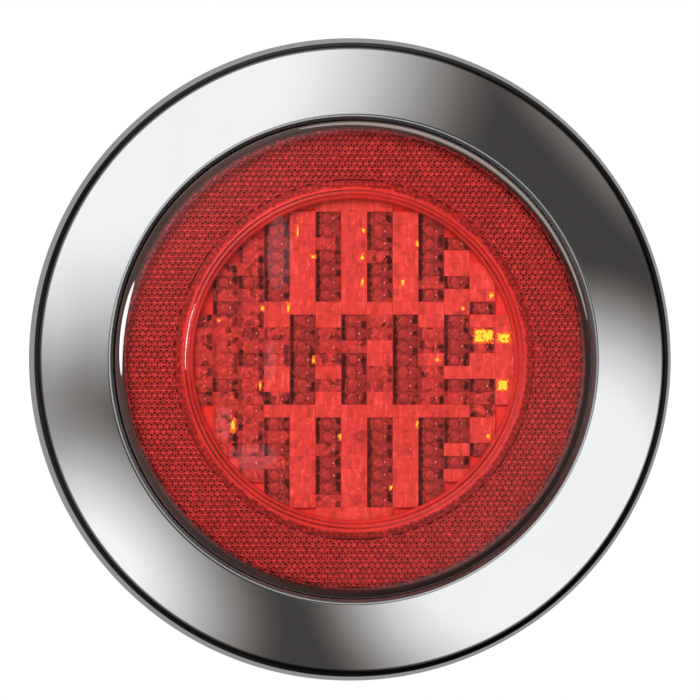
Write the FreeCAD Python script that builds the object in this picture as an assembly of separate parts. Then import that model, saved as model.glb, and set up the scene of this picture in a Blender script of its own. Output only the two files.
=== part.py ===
"""Round rear lamp for a trailer: red lens with a reflex ring, LED board, black housing, chromed trim ring.

Millimetres. The lamp's axis is the Y axis and the lens faces -Y. The origin is the centre of the gasket's
rear face, which lies on the vehicle's panel. Heights above that face, towards the viewer, are called
"forward", so forward = -y. Outlines of turned pieces are lists of (radius, forward).
"""

import math
import os

import FreeCAD
import Part

Vector = FreeCAD.Vector

# Trim ring
RING_RIM_R = 77.5
RING_WALL_TOP_R = 75.9
RING_WALL_TOP = 8.6
RING_OPENING_R = 57.9
RING_INNER_EDGE = 17.6
RING_RIM_GAP = 0.6
RING_SHELL = 2.2
RING_WALL = 1.76
RING_CORNER_DEPTH = 2.31
RING_FACE_BULGE = 0.35
RING_SHOULDER_RADIUS = 3.0
RING_LIP_RADIUS = 0.6
RING_LIP_R = 57.1
RING_LIP_CHAMFER = 1.4
RING_LIP_BOTTOM = 11.0
RING_LIP_THICKNESS = 1.6
RING_LEGS = 6
RING_LEG_WIDTH = 14.0
RING_LEG_THICKNESS = 1.8
RING_LEG_GAP = 0.3
RING_LEG_BOTTOM = 1.0
RING_RIB_THICKNESS = 1.4
RING_RIB_GAP = 0.15
RING_RIB_INSET = 2.5
RING_RIB_DEPTH = 1.2

# Lens
LENS_R = 56.6
LENS_WALL = 2.3
LENS_BOTTOM = 10.0
LENS_SHOULDER = 22.0
LENS_APEX = 24.2
LENS_SHOULDER_RADIUS = 3.6
WINDOW_R = 40.8
WINDOW_BEAD = 1.7
WINDOW_BEAD_DEPTH = 0.5
WINDOW_RIB = 1.4
WINDOW_RIB_BOTTOM = 15.4

# Reflex reflector
REFLEX_INNER_R = 42.5
REFLEX_OUTER_R = 54.0
REFLEX_FRONT = 19.2
REFLEX_BACK = 16.6
REFLEX_PLATE_FRONT = 15.4
REFLEX_PLATE_BACK = 14.0
REFLEX_FOOT = 0.8
REFLEX_SKIRT = 1.3
REFLEX_SKIRT_GAP = 0.2

# Inner optic: tall narrow columns of cells, each cell twice as wide as it is high
CELL_WIDTH = 6.1
CELL_HEIGHT = CELL_WIDTH / 2
OPTIC_R = 40.5
OPTIC_FRONT = 18.2
OPTIC_BACK = 16.2
OPTIC_STEP = 0.6
OPTIC_RIM = 1.2
OPTIC_LEDGE = 1.0

# Reflector tray: one deep pocket behind each dark block of cells
POCKET_ROWS = 7
POCKET_LENGTH = POCKET_ROWS * CELL_HEIGHT
POCKET_WIDTH = CELL_WIDTH - 1.0
OUTER_BLOCK_CENTRE = 8 * CELL_HEIGHT
OUTER_BLOCK_COLUMNS = (-3, -1, 1, 3)
MIDDLE_BLOCK_COLUMNS = (-4, -2, 0, 2, 4)
TRAY_R = 41.2
TRAY_FRONT = 12.2
TRAY_PLATE = 1.6
TRAY_WALL = 1.0
TRAY_FOOT = -3.2
TRAY_RIM_BOTTOM = 4.0
TRAY_POST_R = 1.5
TRAY_POST_CIRCLE_R = 39.0
TRAY_POST_ANGLES = (60, 180, 300)

# Housing
RECESS_R = 48.0
RECESS_STEP_R = 49.0
RECESS_BACK = -18.0
RECESS_EDGE_RADIUS = 1.5
HOUSING_WALL = 2.2
FLANGE_R = 68.0
FLANGE_BACK = 2.0
FLANGE_FRONT = 5.0
COLLAR_INNER_R = 54.0
SEAL_GROOVE_R = 55.3
SEAL_GROOVE_WIDTH = 1.0
SEAL_GROOVE_DEPTH = 1.0
BACK_RIBS = 12
BACK_RIB_INNER_R = 34.0
BACK_RIB_HEIGHT = 1.2
BACK_RIB_THICKNESS = 1.6

# Fixing on the panel
GASKET_INNER_R = 49.4
GASKET_OUTER_R = 66.5
FIXING_CIRCLE_R = 63.0
FIXING_ANGLES = (90, 210, 330)
FIXING_SCREW_R = 2.5
FIXING_SHANK_R = 2.24
FIXING_THREAD_START = -0.4
FIXING_SCREW_END = -14.0
FIXING_TIP_CHAMFER = 0.6
SLEEVE_BORE_R = 2.7
SLEEVE_R = 3.2
SLEEVE_BACK = 0.3
WASHER_R = 5.0
WASHER_THICKNESS = 1.0
SCREW_HEAD_R = 4.6
SCREW_HEAD_HEIGHT = 2.8
SCREW_HEAD_ROUNDING = 1.54
SCREW_RECESS_SIZE = 5.06
SCREW_RECESS_DEPTH = 1.6
RECESS_SLOT = 0.28

# Circuit board
BOARD_R = 44.6
BOARD_FRONT = -6.0
BOARD_THICKNESS = 1.6
BOARD_BACK = BOARD_FRONT - BOARD_THICKNESS
BOSS_CIRCLE_R = 41.2
BOSS_ANGLES = (0, 120, 240)
BOSS_R = 3.0
BOSS_WEB_LENGTH = 8.0
BOSS_WEB_THICKNESS = 1.6
BOSS_WEB_DROP = 1.0
BOARD_HOLE_R = 1.4
BOARD_SCREW_R = 1.1
BOARD_SCREW_LENGTH = 6.4
BOARD_SCREW_HOLE = 7.0
BOARD_SCREW_HEAD_R = 2.4
BOARD_SCREW_HEAD_HEIGHT = 1.4
BOARD_SCREW_RECESS_DEPTH = 0.8

# Light-emitting diodes
LED_BODY = (3.5, 2.8, 1.3)
LED_DOME_R = 1.25
LED_PITCH = 2 * CELL_HEIGHT

# Connector
CONNECTOR_UP = -22.0
SOCKET_WIDTH = 27.0
SOCKET_HEIGHT = 13.0
SOCKET_WALL = 1.5
SOCKET_MOUTH = -31.0
SOCKET_FLANGE = 2.2
SOCKET_FLANGE_THICKNESS = 1.6
SOCKET_WEB = 2.0
PIN_COUNT = 4
PIN_PITCH = 5.0
PIN_SECTION = (2.8, 0.8)
PIN_TIP = -25.5
PIN_STAND = 0.8
PIN_SLOT_PLAY = 0.04
BOARD_SLOT_PLAY = 0.1
SOCKET_CORNER = 1.2
SOCKET_KEYS = (-6.0, 6.0)
SOCKET_KEY = (1.6, 1.4)
SOCKET_KEY_UP = 0.5
SOCKET_LATCH = (6.0, 1.6)
SOCKET_LATCH_UP = 0.6
SOCKET_LATCH_FROM = 2.0
SOCKET_LATCH_LENGTH = 3.0
CONNECTOR_SEAL = 0.8
CONNECTOR_SEAL_INSET = 0.2

# Vent
VENT_PLACE = (0.0, 26.0)
VENT_STEM_R = 3.0
VENT_HEAD_R = 5.0
VENT_HEAD_HEIGHT = 1.8
VENT_BORE_R = 1.6
VENT_STEM_END = 1.5
VENT_BARB_R = 3.5
VENT_BARB_TIP_R = 2.4
VENT_BARB_LENGTH = 1.6
VENT_BARB_GAP = 0.3
VENT_SLOT_WIDTH = 1.4
VENT_SLOT_FLOOR = 1.1
MEMBRANE_BACK = 0.5
MEMBRANE_THICKNESS = 0.3

# Components on the back of the board
REGULATOR_PLACES = (-17.0, 17.0)
REGULATOR_UP = 6.0
REGULATOR_BODY = (6.6, 6.2, 2.3)
REGULATOR_TAB = (5.4, 2.2, 0.5)
REGULATOR_TAB_UP = 4.0
REGULATOR_LEG = (0.8, 2.2, 0.6)
REGULATOR_LEG_UP = -4.0
REGULATOR_LEG_SPREAD = (-2.3, 2.3)
RESISTOR_COLUMNS = (-27.0, -21.0, 21.0, 27.0)
RESISTOR_ROWS = (-4.0, -9.0, -14.0)
RESISTOR_BODY = (3.2, 1.6, 0.6)
DIODE_PLACES = (-8.0, 8.0)
DIODE_UP = -12.0
DIODE_BODY = (4.3, 3.6, 2.3)
CAN_R = 3.15
CAN_HEIGHT = 5.8
CAN_X = 8.0
CAN_UP = -4.0
CAN_EDGE_RADIUS = 0.5

CLEARANCE = 0.05
JOIN = 0.5
OVERRUN = 1.0
SAME = 0.01
AXIS = Vector(0, 1, 0)
ORIGIN = Vector(0, 0, 0)


def at(radius, forward):
    """A point of a turned outline."""
    return Vector(radius, -forward, 0)


def turned(edges_or_points):
    """A solid of revolution about the lamp's axis, from points, or from edges that already make a loop."""
    if isinstance(edges_or_points[0], tuple):
        points = [at(*p) for p in edges_or_points]
        wire = Part.makePolygon(points + points[:1])
    else:
        wire = Part.Wire(edges_or_points)
    return Part.Face(wire).revolve(ORIGIN, AXIS, 360)


def ring(inner, outer, back, front):
    """A plain turned ring with a rectangular section."""
    return turned([(inner, back), (outer, back), (outer, front), (inner, front)])


def disc(radius, back, front, x=0.0, up=0.0):
    """A cylinder along the lamp's axis, from back to front, centred on (x, up)."""
    return Part.makeCylinder(radius, front - back, Vector(x, -front, up), AXIS)


def block(x, up, width, height, back, front):
    """A box centred on (x, up), from back to front."""
    return Part.makeBox(width, front - back, height, Vector(x - width / 2, -front, up - height / 2))


def turn(shape, degrees):
    """A copy of the shape turned about the lamp's axis, anticlockwise as the viewer sees it."""
    copy = shape.copy()
    copy.rotate(ORIGIN, AXIS, -degrees)
    return copy


def around(shape, angles):
    """Copies of a shape that lies towards +X, one at each angle."""
    return [turn(shape, angle) for angle in angles]


def on_edge(shape, forward):
    """The shape's edges whose middle lies at that height."""
    return [edge for edge in shape.Edges if abs(edge.CenterOfMass.y + forward) < SAME]


def fused(shapes):
    """One shape made of several that overlap."""
    return shapes[0].multiFuse(shapes[1:]).removeSplitter()


def fillet_circle(shape, radius, forward, size):
    """The shape with its circular edge at that radius and height rounded."""
    found = [
        edge
        for edge in shape.Edges
        if not edge.Degenerated
        and isinstance(edge.Curve, Part.Circle)
        and abs(edge.Curve.Radius - radius) < SAME
        and abs(edge.Curve.Center.y + forward) < SAME
    ]
    return shape.makeFillet(size, found)


def dome_height(radius, apex, rim_radius, rim):
    """Height at a radius of a shallow sphere cap with that apex and rim."""
    sag = apex - rim
    sphere = (rim_radius**2 + sag**2) / (2 * sag)
    return apex - sphere + math.sqrt(sphere**2 - radius**2)


def ring_face(radius):
    """Height of the trim ring's sloping face, a shallow convex arc, at a radius."""
    share = (radius - RING_OPENING_R) / (RING_WALL_TOP_R - RING_OPENING_R)
    straight = RING_INNER_EDGE + share * (RING_WALL_TOP - RING_INNER_EDGE)
    return straight + 4 * RING_FACE_BULGE * share * (1 - share)


def trim_ring():
    """Chromed cover ring: a sloping shell, six legs that push over the flange's edge and six stops."""
    face_middle = (RING_OPENING_R + RING_WALL_TOP_R) / 2
    wall_draft = (RING_RIM_R - RING_WALL_TOP_R) / (RING_WALL_TOP - RING_RIM_GAP)
    under_r = RING_WALL_TOP_R - RING_WALL
    under = RING_WALL_TOP - RING_CORNER_DEPTH
    lip_r = RING_LIP_R + RING_LIP_THICKNESS
    lip_under = ring_face(lip_r) - RING_SHELL
    corners = [
        (RING_RIM_R, RING_RIM_GAP),
        (RING_WALL_TOP_R, RING_WALL_TOP),
        (RING_OPENING_R, RING_INNER_EDGE),
        (RING_LIP_R, RING_INNER_EDGE - RING_LIP_CHAMFER),
        (RING_LIP_R, RING_LIP_BOTTOM),
        (lip_r, RING_LIP_BOTTOM),
        (lip_r, lip_under),
        (under_r, under),
        (under_r + wall_draft * (under - RING_RIM_GAP), RING_RIM_GAP),
    ]
    points = [at(*corner) for corner in corners]
    edges = [Part.makeLine(a, b) for a, b in zip(points, points[1:] + points[:1])]
    edges[1] = Part.Arc(points[1], at(face_middle, ring_face(face_middle)), points[2]).toShape()
    shell = turned(edges)
    shell = fillet_circle(shell, RING_WALL_TOP_R, RING_WALL_TOP, RING_SHOULDER_RADIUS)
    shell = fillet_circle(shell, RING_OPENING_R, RING_INNER_EDGE, RING_LIP_RADIUS)

    leg_r = FLANGE_R + RING_LEG_GAP
    leg_front = ring_face(leg_r) - RING_SHELL
    leg = ring(leg_r, leg_r + RING_LEG_THICKNESS, RING_LEG_BOTTOM, leg_front)
    leg = leg.common(block(leg_r, 0, 4 * RING_LEG_THICKNESS, RING_LEG_WIDTH, 0, leg_front))
    rib_inner = RING_OPENING_R + RING_RIB_INSET
    rib_outer = leg_r + RING_LEG_THICKNESS / 2
    rib_bottom = FLANGE_FRONT + RING_RIB_GAP
    rib_outline = [
        (rib_inner, rib_bottom),
        (rib_outer, rib_bottom),
        (rib_outer, ring_face(rib_outer) - RING_RIB_DEPTH),
        (rib_inner, ring_face(rib_inner) - RING_RIB_DEPTH),
    ]
    rib_points = [at(*p) for p in rib_outline]
    rib_face = Part.Face(Part.makePolygon(rib_points + rib_points[:1]))
    rib_face.translate(Vector(0, 0, -RING_RIB_THICKNESS / 2))
    rib = rib_face.extrude(Vector(0, 0, RING_RIB_THICKNESS))
    angles = [360 / RING_LEGS * k for k in range(RING_LEGS)]
    return fused([shell] + around(leg, angles) + around(rib, angles))


def lens():
    """Red cap: a shallow dome, a rounded shoulder, a skirt, and a rib behind the round window's bead."""
    inner_r = LENS_R - LENS_WALL

    def outer(radius):
        return dome_height(radius, LENS_APEX, LENS_R, LENS_SHOULDER)

    def inner(radius):
        return outer(radius) - LENS_WALL

    bead_in = WINDOW_R - WINDOW_BEAD
    corners = [
        (0, outer(0)),
        (bead_in, outer(bead_in)),
        (bead_in, outer(bead_in) - WINDOW_BEAD_DEPTH),
        (WINDOW_R, outer(WINDOW_R) - WINDOW_BEAD_DEPTH),
        (WINDOW_R, outer(WINDOW_R)),
        (LENS_R, outer(LENS_R)),
        (LENS_R, LENS_BOTTOM),
        (inner_r, LENS_BOTTOM),
        (inner_r, inner(inner_r)),
        (WINDOW_R + WINDOW_RIB, inner(WINDOW_R + WINDOW_RIB)),
        (WINDOW_R + WINDOW_RIB, WINDOW_RIB_BOTTOM),
        (WINDOW_R, WINDOW_RIB_BOTTOM),
        (WINDOW_R, inner(WINDOW_R)),
        (0, inner(0)),
    ]
    points = [at(*corner) for corner in corners]
    edges = [Part.makeLine(a, b) for a, b in zip(points, points[1:] + points[:1])]
    curved = {0: outer, 4: outer, 8: inner, 12: inner}
    for index, height in curved.items():
        middle = (corners[index][0] + corners[(index + 1) % len(corners)][0]) / 2
        edges[index] = Part.Arc(
            points[index], at(middle, height(middle)), points[(index + 1) % len(points)]
        ).toShape()
    cap = turned(edges)
    cap = fillet_circle(cap, LENS_R, outer(LENS_R), LENS_SHOULDER_RADIUS)
    return fillet_circle(cap, inner_r, inner(inner_r), LENS_SHOULDER_RADIUS - LENS_WALL)


def block_places():
    """The (x, up) centres of the blocks of cells that have a pocket and diodes behind them."""
    outer = [
        (column * CELL_WIDTH, up)
        for up in (OUTER_BLOCK_CENTRE, -OUTER_BLOCK_CENTRE)
        for column in OUTER_BLOCK_COLUMNS
    ]
    return outer + [(column * CELL_WIDTH, 0.0) for column in MIDDLE_BLOCK_COLUMNS]


def optic_plate():
    """Plate behind the window: every second column of cells is raised, and its rim stands on the tray."""
    plate = disc(OPTIC_R, OPTIC_BACK, OPTIC_FRONT - OPTIC_STEP)
    rim = ring(OPTIC_R - OPTIC_RIM, OPTIC_R, TRAY_FRONT, OPTIC_BACK + JOIN)
    half = int(OPTIC_R // CELL_WIDTH)
    columns = [
        block(column * CELL_WIDTH, 0, CELL_WIDTH, 2 * OPTIC_R, OPTIC_BACK, OPTIC_FRONT)
        for column in range(-half, half + 1)
        if column % 2 == 0
    ]
    limit = disc(OPTIC_R - OPTIC_LEDGE, OPTIC_BACK, OPTIC_FRONT)
    return fused([plate, rim] + [column.common(limit) for column in columns])


def reflector_tray():
    """Metallised tray: a front plate, a rim, posts on the board and a walled pocket over each diode row."""
    plate = disc(TRAY_R, TRAY_FRONT - TRAY_PLATE, TRAY_FRONT)
    rim = ring(TRAY_R - TRAY_WALL, TRAY_R, TRAY_RIM_BOTTOM, TRAY_FRONT)
    post = disc(TRAY_POST_R, BOARD_FRONT, TRAY_FRONT - JOIN, TRAY_POST_CIRCLE_R)
    limit = disc(TRAY_R, TRAY_FOOT, TRAY_FRONT)
    places = block_places()
    walls = [
        block(x, up, POCKET_WIDTH + TRAY_WALL, POCKET_LENGTH, TRAY_FOOT, TRAY_FRONT).common(limit)
        for x, up in places
    ]
    hole_width = POCKET_WIDTH - TRAY_WALL
    hole_length = POCKET_LENGTH - 2 * TRAY_WALL
    holes = [
        block(x, up, hole_width, hole_length, TRAY_FOOT - OVERRUN, TRAY_FRONT + OVERRUN) for x, up in places
    ]
    posts = around(post, TRAY_POST_ANGLES)
    return fused([plate, rim] + posts + walls).cut(Part.Compound(holes))


def housing():
    """Black rear casing: a recessed cup, a flange on the gasket and a collar that carries the lens."""
    inner_r = RECESS_R - HOUSING_WALL
    floor = RECESS_BACK + HOUSING_WALL
    ledge = FLANGE_BACK + HOUSING_WALL
    cup = turned(
        [
            (0, RECESS_BACK),
            (RECESS_R, RECESS_BACK),
            (RECESS_R, 0),
            (RECESS_STEP_R, 0),
            (RECESS_STEP_R, FLANGE_BACK),
            (FLANGE_R, FLANGE_BACK),
            (FLANGE_R, FLANGE_FRONT),
            (LENS_R, FLANGE_FRONT),
            (LENS_R, LENS_BOTTOM),
            (COLLAR_INNER_R, LENS_BOTTOM),
            (COLLAR_INNER_R, ledge),
            (inner_r, ledge),
            (inner_r, floor),
            (0, floor),
        ]
    )
    cup = fillet_circle(cup, RECESS_R, RECESS_BACK, RECESS_EDGE_RADIUS)

    in_floor = RECESS_BACK + OVERRUN
    past_back = RECESS_BACK - 2 * BACK_RIB_HEIGHT
    boss = disc(BOSS_R, in_floor, BOARD_BACK, BOSS_CIRCLE_R)
    web_middle = BOSS_CIRCLE_R + BOSS_WEB_LENGTH / 2
    web = block(web_middle, 0, BOSS_WEB_LENGTH, BOSS_WEB_THICKNESS, in_floor, BOARD_BACK - BOSS_WEB_DROP)
    web = web.common(disc(inner_r + OVERRUN, RECESS_BACK, BOARD_BACK))
    rib = block(
        (BACK_RIB_INNER_R + RECESS_R) / 2,
        0,
        RECESS_R - BACK_RIB_INNER_R - 2 * RECESS_EDGE_RADIUS,
        BACK_RIB_THICKNESS,
        RECESS_BACK - BACK_RIB_HEIGHT,
        in_floor,
    )
    rib_ring = ring(
        BACK_RIB_INNER_R,
        BACK_RIB_INNER_R + BACK_RIB_THICKNESS,
        RECESS_BACK - BACK_RIB_HEIGHT,
        in_floor,
    )
    rib_step = 360 / BACK_RIBS
    rib_angles = [rib_step * (k + 0.5) for k in range(BACK_RIBS)]
    body = fused(
        [cup, rib_ring]
        + around(boss, BOSS_ANGLES)
        + around(web, BOSS_ANGLES)
        + around(rib, rib_angles)
    )

    seal_groove = ring(
        SEAL_GROOVE_R - SEAL_GROOVE_WIDTH / 2,
        SEAL_GROOVE_R + SEAL_GROOVE_WIDTH / 2,
        LENS_BOTTOM - SEAL_GROOVE_DEPTH,
        LENS_BOTTOM + OVERRUN,
    )
    sleeve_hole = disc(SLEEVE_R, FLANGE_BACK - OVERRUN, FLANGE_FRONT + OVERRUN, FIXING_CIRCLE_R)
    boss_hole = disc(BOARD_SCREW_R, BOARD_BACK - BOARD_SCREW_HOLE, BOARD_BACK + OVERRUN, BOSS_CIRCLE_R)
    socket_hole = block(
        0,
        CONNECTOR_UP,
        SOCKET_WIDTH + 2 * CLEARANCE,
        SOCKET_HEIGHT + 2 * CLEARANCE,
        past_back,
        floor + OVERRUN,
    )
    vent_hole = disc(VENT_STEM_R, past_back, floor + OVERRUN, *VENT_PLACE)
    cuts = [seal_groove, socket_hole, vent_hole]
    cuts += around(sleeve_hole, FIXING_ANGLES)
    cuts += around(boss_hole, BOSS_ANGLES)
    return body.cut(Part.Compound(cuts))


def lens_seal():
    """Square-section rubber ring in the collar's groove, under the lens skirt."""
    half = SEAL_GROOVE_WIDTH / 2 - CLEARANCE
    return ring(
        SEAL_GROOVE_R - half,
        SEAL_GROOVE_R + half,
        LENS_BOTTOM - SEAL_GROOVE_DEPTH + CLEARANCE,
        LENS_BOTTOM,
    )


def reflex_ring():
    """Red reflex reflector: a flat ring whose back carries the prisms."""
    return ring(REFLEX_INNER_R, REFLEX_OUTER_R, REFLEX_BACK, REFLEX_FRONT)


def reflex_back_plate():
    """Black ring that shuts the air gap behind the prisms, on a skirt that stands on the housing's ledge."""
    plate = ring(REFLEX_INNER_R, REFLEX_OUTER_R, REFLEX_PLATE_BACK, REFLEX_PLATE_FRONT)
    low = REFLEX_PLATE_BACK + JOIN
    outer_foot = ring(REFLEX_OUTER_R - REFLEX_FOOT, REFLEX_OUTER_R, low, REFLEX_BACK)
    inner_foot = ring(REFLEX_INNER_R, REFLEX_INNER_R + REFLEX_FOOT, low, REFLEX_BACK)
    skirt_r = COLLAR_INNER_R - REFLEX_SKIRT_GAP
    skirt = ring(skirt_r - REFLEX_SKIRT, skirt_r, FLANGE_BACK + HOUSING_WALL, low)
    return fused([plate, outer_foot, inner_foot, skirt])


def mounting_gasket():
    """Flat rubber ring between the flange and the panel, with a hole for each fixing screw."""
    flat = ring(GASKET_INNER_R, GASKET_OUTER_R, 0, FLANGE_BACK)
    hole = disc(SLEEVE_R + 2 * CLEARANCE, -OVERRUN, FLANGE_BACK + OVERRUN, FIXING_CIRCLE_R)
    return flat.cut(Part.Compound(around(hole, FIXING_ANGLES)))


def screw_sleeve():
    """Metal bush that takes the fixing screw's load, so that the plastic flange isn't crushed."""
    return disc(SLEEVE_R - CLEARANCE / 2, SLEEVE_BACK, FLANGE_FRONT, FIXING_CIRCLE_R).cut(
        disc(SLEEVE_BORE_R, -OVERRUN, FLANGE_FRONT + OVERRUN, FIXING_CIRCLE_R)
    )


def mounting_washer():
    """Flat washer under a fixing screw's head."""
    front = FLANGE_FRONT + WASHER_THICKNESS
    return disc(WASHER_R, FLANGE_FRONT, front, FIXING_CIRCLE_R).cut(
        disc(SLEEVE_BORE_R, FLANGE_FRONT - OVERRUN, front + OVERRUN, FIXING_CIRCLE_R)
    )


def cross_recess(x, size, depth, front):
    """Two crossed slots that a screwdriver fits."""
    slot = size * RECESS_SLOT
    return block(x, 0, size, slot, front - depth, front + OVERRUN).fuse(
        block(x, 0, slot, size, front - depth, front + OVERRUN)
    )


def mounting_screw():
    """Pan-head machine screw through the flange into the panel, its shank thinner than its thread."""
    x = FIXING_CIRCLE_R
    seat = FLANGE_FRONT + WASHER_THICKNESS
    front = seat + SCREW_HEAD_HEIGHT
    head = disc(SCREW_HEAD_R, seat, front, x)
    head = head.makeFillet(SCREW_HEAD_ROUNDING, on_edge(head, front))
    thread = disc(FIXING_SCREW_R, FIXING_SCREW_END, FIXING_THREAD_START, x)
    thread = thread.makeChamfer(FIXING_TIP_CHAMFER, on_edge(thread, FIXING_SCREW_END))
    shank = disc(FIXING_SHANK_R, FIXING_THREAD_START - JOIN, seat + JOIN, x)
    recess = cross_recess(x, SCREW_RECESS_SIZE, SCREW_RECESS_DEPTH, front)
    return fused([head, shank, thread]).cut(recess)


def circuit_board():
    """Round board with holes for its screws and slots for the connector's pins."""
    board = disc(BOARD_R, BOARD_BACK, BOARD_FRONT)
    past_back = BOARD_BACK - OVERRUN
    past_front = BOARD_FRONT + OVERRUN
    hole = disc(BOARD_HOLE_R, past_back, past_front, BOSS_CIRCLE_R)
    width, height = pin_slot(BOARD_SLOT_PLAY)
    slots = [block(x, CONNECTOR_UP, width, height, past_back, past_front) for x in pin_places()]
    return board.cut(Part.Compound(around(hole, BOSS_ANGLES) + slots))


def board_screw():
    """Small self-tapping screw that holds the board on its boss."""
    x = BOSS_CIRCLE_R
    front = BOARD_FRONT + BOARD_SCREW_HEAD_HEIGHT
    head = disc(BOARD_SCREW_HEAD_R, BOARD_FRONT, front, x)
    shank = disc(BOARD_SCREW_R - CLEARANCE / 2, BOARD_BACK - BOARD_SCREW_LENGTH, BOARD_FRONT + JOIN, x)
    recess = cross_recess(x, BOARD_SCREW_HEAD_R, BOARD_SCREW_RECESS_DEPTH, front)
    return fused([head, shank]).cut(recess)


def pin_places():
    """The x of each connector pin."""
    first = -PIN_PITCH * (PIN_COUNT - 1) / 2
    return [first + PIN_PITCH * k for k in range(PIN_COUNT)]


def pin_slot(play):
    """The width and height of a slot that a pin passes with that much play."""
    return PIN_SECTION[0] + play, PIN_SECTION[1] + play


def connector_pins():
    """Flat blades from the board to the socket."""
    width, height = PIN_SECTION
    return [block(x, CONNECTOR_UP, width, height, PIN_TIP, BOARD_FRONT + PIN_STAND) for x in pin_places()]


def connector_shell():
    """Open socket that points backwards: a flange inside the housing, a web round the pins and a mouth."""
    inside = RECESS_BACK + HOUSING_WALL
    flange_back = inside + CONNECTOR_SEAL
    flange_front = flange_back + SOCKET_FLANGE_THICKNESS
    top = CONNECTOR_UP + SOCKET_HEIGHT / 2
    sleeve = block(0, CONNECTOR_UP, SOCKET_WIDTH, SOCKET_HEIGHT, SOCKET_MOUTH, flange_front)
    corner_edges = [edge for edge in sleeve.Edges if abs(edge.Vertexes[0].Y - edge.Vertexes[-1].Y) > JOIN]
    sleeve = sleeve.makeFillet(SOCKET_CORNER, corner_edges)
    flange = block(
        0,
        CONNECTOR_UP,
        SOCKET_WIDTH + 2 * SOCKET_FLANGE,
        SOCKET_HEIGHT + 2 * SOCKET_FLANGE,
        flange_back,
        flange_front,
    )
    cavity = block(
        0,
        CONNECTOR_UP,
        SOCKET_WIDTH - 2 * SOCKET_WALL,
        SOCKET_HEIGHT - 2 * SOCKET_WALL,
        SOCKET_MOUTH - OVERRUN,
        inside - SOCKET_WEB,
    )
    slot_width, slot_height = pin_slot(PIN_SLOT_PLAY)
    slots = [
        block(x, CONNECTOR_UP, slot_width, slot_height, SOCKET_MOUTH, flange_front + OVERRUN)
        for x in pin_places()
    ]
    keys = [
        block(x, top + SOCKET_KEY_UP, *SOCKET_KEY, SOCKET_MOUTH, RECESS_BACK - BACK_RIB_HEIGHT)
        for x in SOCKET_KEYS
    ]
    latch_back = SOCKET_MOUTH + SOCKET_LATCH_FROM
    latch = block(0, top + SOCKET_LATCH_UP, *SOCKET_LATCH, latch_back, latch_back + SOCKET_LATCH_LENGTH)
    return fused([sleeve, flange, latch] + keys).cut(Part.Compound([cavity] + slots))


def connector_seal():
    """Rubber frame pressed between the socket's flange and the housing floor."""
    inside = RECESS_BACK + HOUSING_WALL
    lap = SOCKET_FLANGE - CONNECTOR_SEAL_INSET
    frame = block(
        0,
        CONNECTOR_UP,
        SOCKET_WIDTH + 2 * lap,
        SOCKET_HEIGHT + 2 * lap,
        inside,
        inside + CONNECTOR_SEAL,
    )
    hole = block(
        0,
        CONNECTOR_UP,
        SOCKET_WIDTH + 2 * CLEARANCE,
        SOCKET_HEIGHT + 2 * CLEARANCE,
        inside - OVERRUN,
        inside + CONNECTOR_SEAL + OVERRUN,
    )
    return frame.cut(hole)


def vent_plug():
    """Push-in plug with a breathing bore, its head outside the housing and a barb inside."""
    x, up = VENT_PLACE
    inside = RECESS_BACK + HOUSING_WALL
    head_back = RECESS_BACK - VENT_HEAD_HEIGHT
    head = disc(VENT_HEAD_R, head_back, RECESS_BACK, x, up)
    stem = disc(VENT_STEM_R - CLEARANCE, RECESS_BACK - JOIN, inside + VENT_STEM_END, x, up)
    barb_base = Vector(x, -(inside + VENT_BARB_GAP), up)
    barb = Part.makeCone(VENT_BARB_R, VENT_BARB_TIP_R, VENT_BARB_LENGTH, barb_base, -AXIS)
    bore = disc(VENT_BORE_R, RECESS_BACK - VENT_SLOT_FLOOR, inside + 2 * VENT_STEM_END, x, up)
    outlets = block(x, up, 2 * VENT_HEAD_R, VENT_SLOT_WIDTH, head_back, RECESS_BACK - VENT_SLOT_FLOOR)
    return fused([head, stem, barb]).cut(Part.Compound([bore, outlets]))


def vent_membrane():
    """Thin disc that lets air through and keeps water out, in the vent's bore."""
    back = RECESS_BACK + MEMBRANE_BACK
    return disc(VENT_BORE_R - CLEARANCE, back, back + MEMBRANE_THICKNESS, *VENT_PLACE)


def diode_places(outer):
    """The (x, up) places of the diodes: in the outer blocks, or in the middle ones."""
    centres = [(x, up) for x, up in block_places() if (up != 0) == outer]
    return [(x, up + step * LED_PITCH) for x, up in centres for step in (-1, 0, 1)]


def diode_bodies(places):
    """The diodes' square packages, soldered on the board."""
    high, wide, tall = LED_BODY
    return [block(x, up, wide, high, BOARD_FRONT, BOARD_FRONT + tall) for x, up in places]


def diode_lenses(places):
    """The clear domes on the diodes' packages."""
    base = BOARD_FRONT + LED_BODY[2]
    size = 2 * LED_DOME_R
    domes = []
    for x, up in places:
        dome = Part.makeSphere(LED_DOME_R, Vector(x, -base, up))
        domes.append(dome.common(block(x, up, size, size, base, base + size)))
    return domes


def behind_board(x, up, size):
    """A box of (width, height, thickness) that stands on the back of the board."""
    width, height, thickness = size
    return block(x, up, width, height, BOARD_BACK - thickness, BOARD_BACK)


def voltage_regulators():
    """Flat power packages with a metal tab, on the back of the board."""
    packages = []
    for x in REGULATOR_PLACES:
        body = behind_board(x, REGULATOR_UP, REGULATOR_BODY)
        tab = behind_board(x, REGULATOR_UP + REGULATOR_TAB_UP, REGULATOR_TAB)
        legs = [
            behind_board(x + spread, REGULATOR_UP + REGULATOR_LEG_UP, REGULATOR_LEG)
            for spread in REGULATOR_LEG_SPREAD
        ]
        packages.append(fused([body, tab] + legs))
    return packages


def capacitors():
    """Round aluminium cans standing on the back of the board."""
    cans = []
    can_back = BOARD_BACK - CAN_HEIGHT
    for x in (-CAN_X, CAN_X):
        can = disc(CAN_R, can_back, BOARD_BACK, x, CAN_UP)
        cans.append(can.makeFillet(CAN_EDGE_RADIUS, on_edge(can, can_back)))
    return cans


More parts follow.
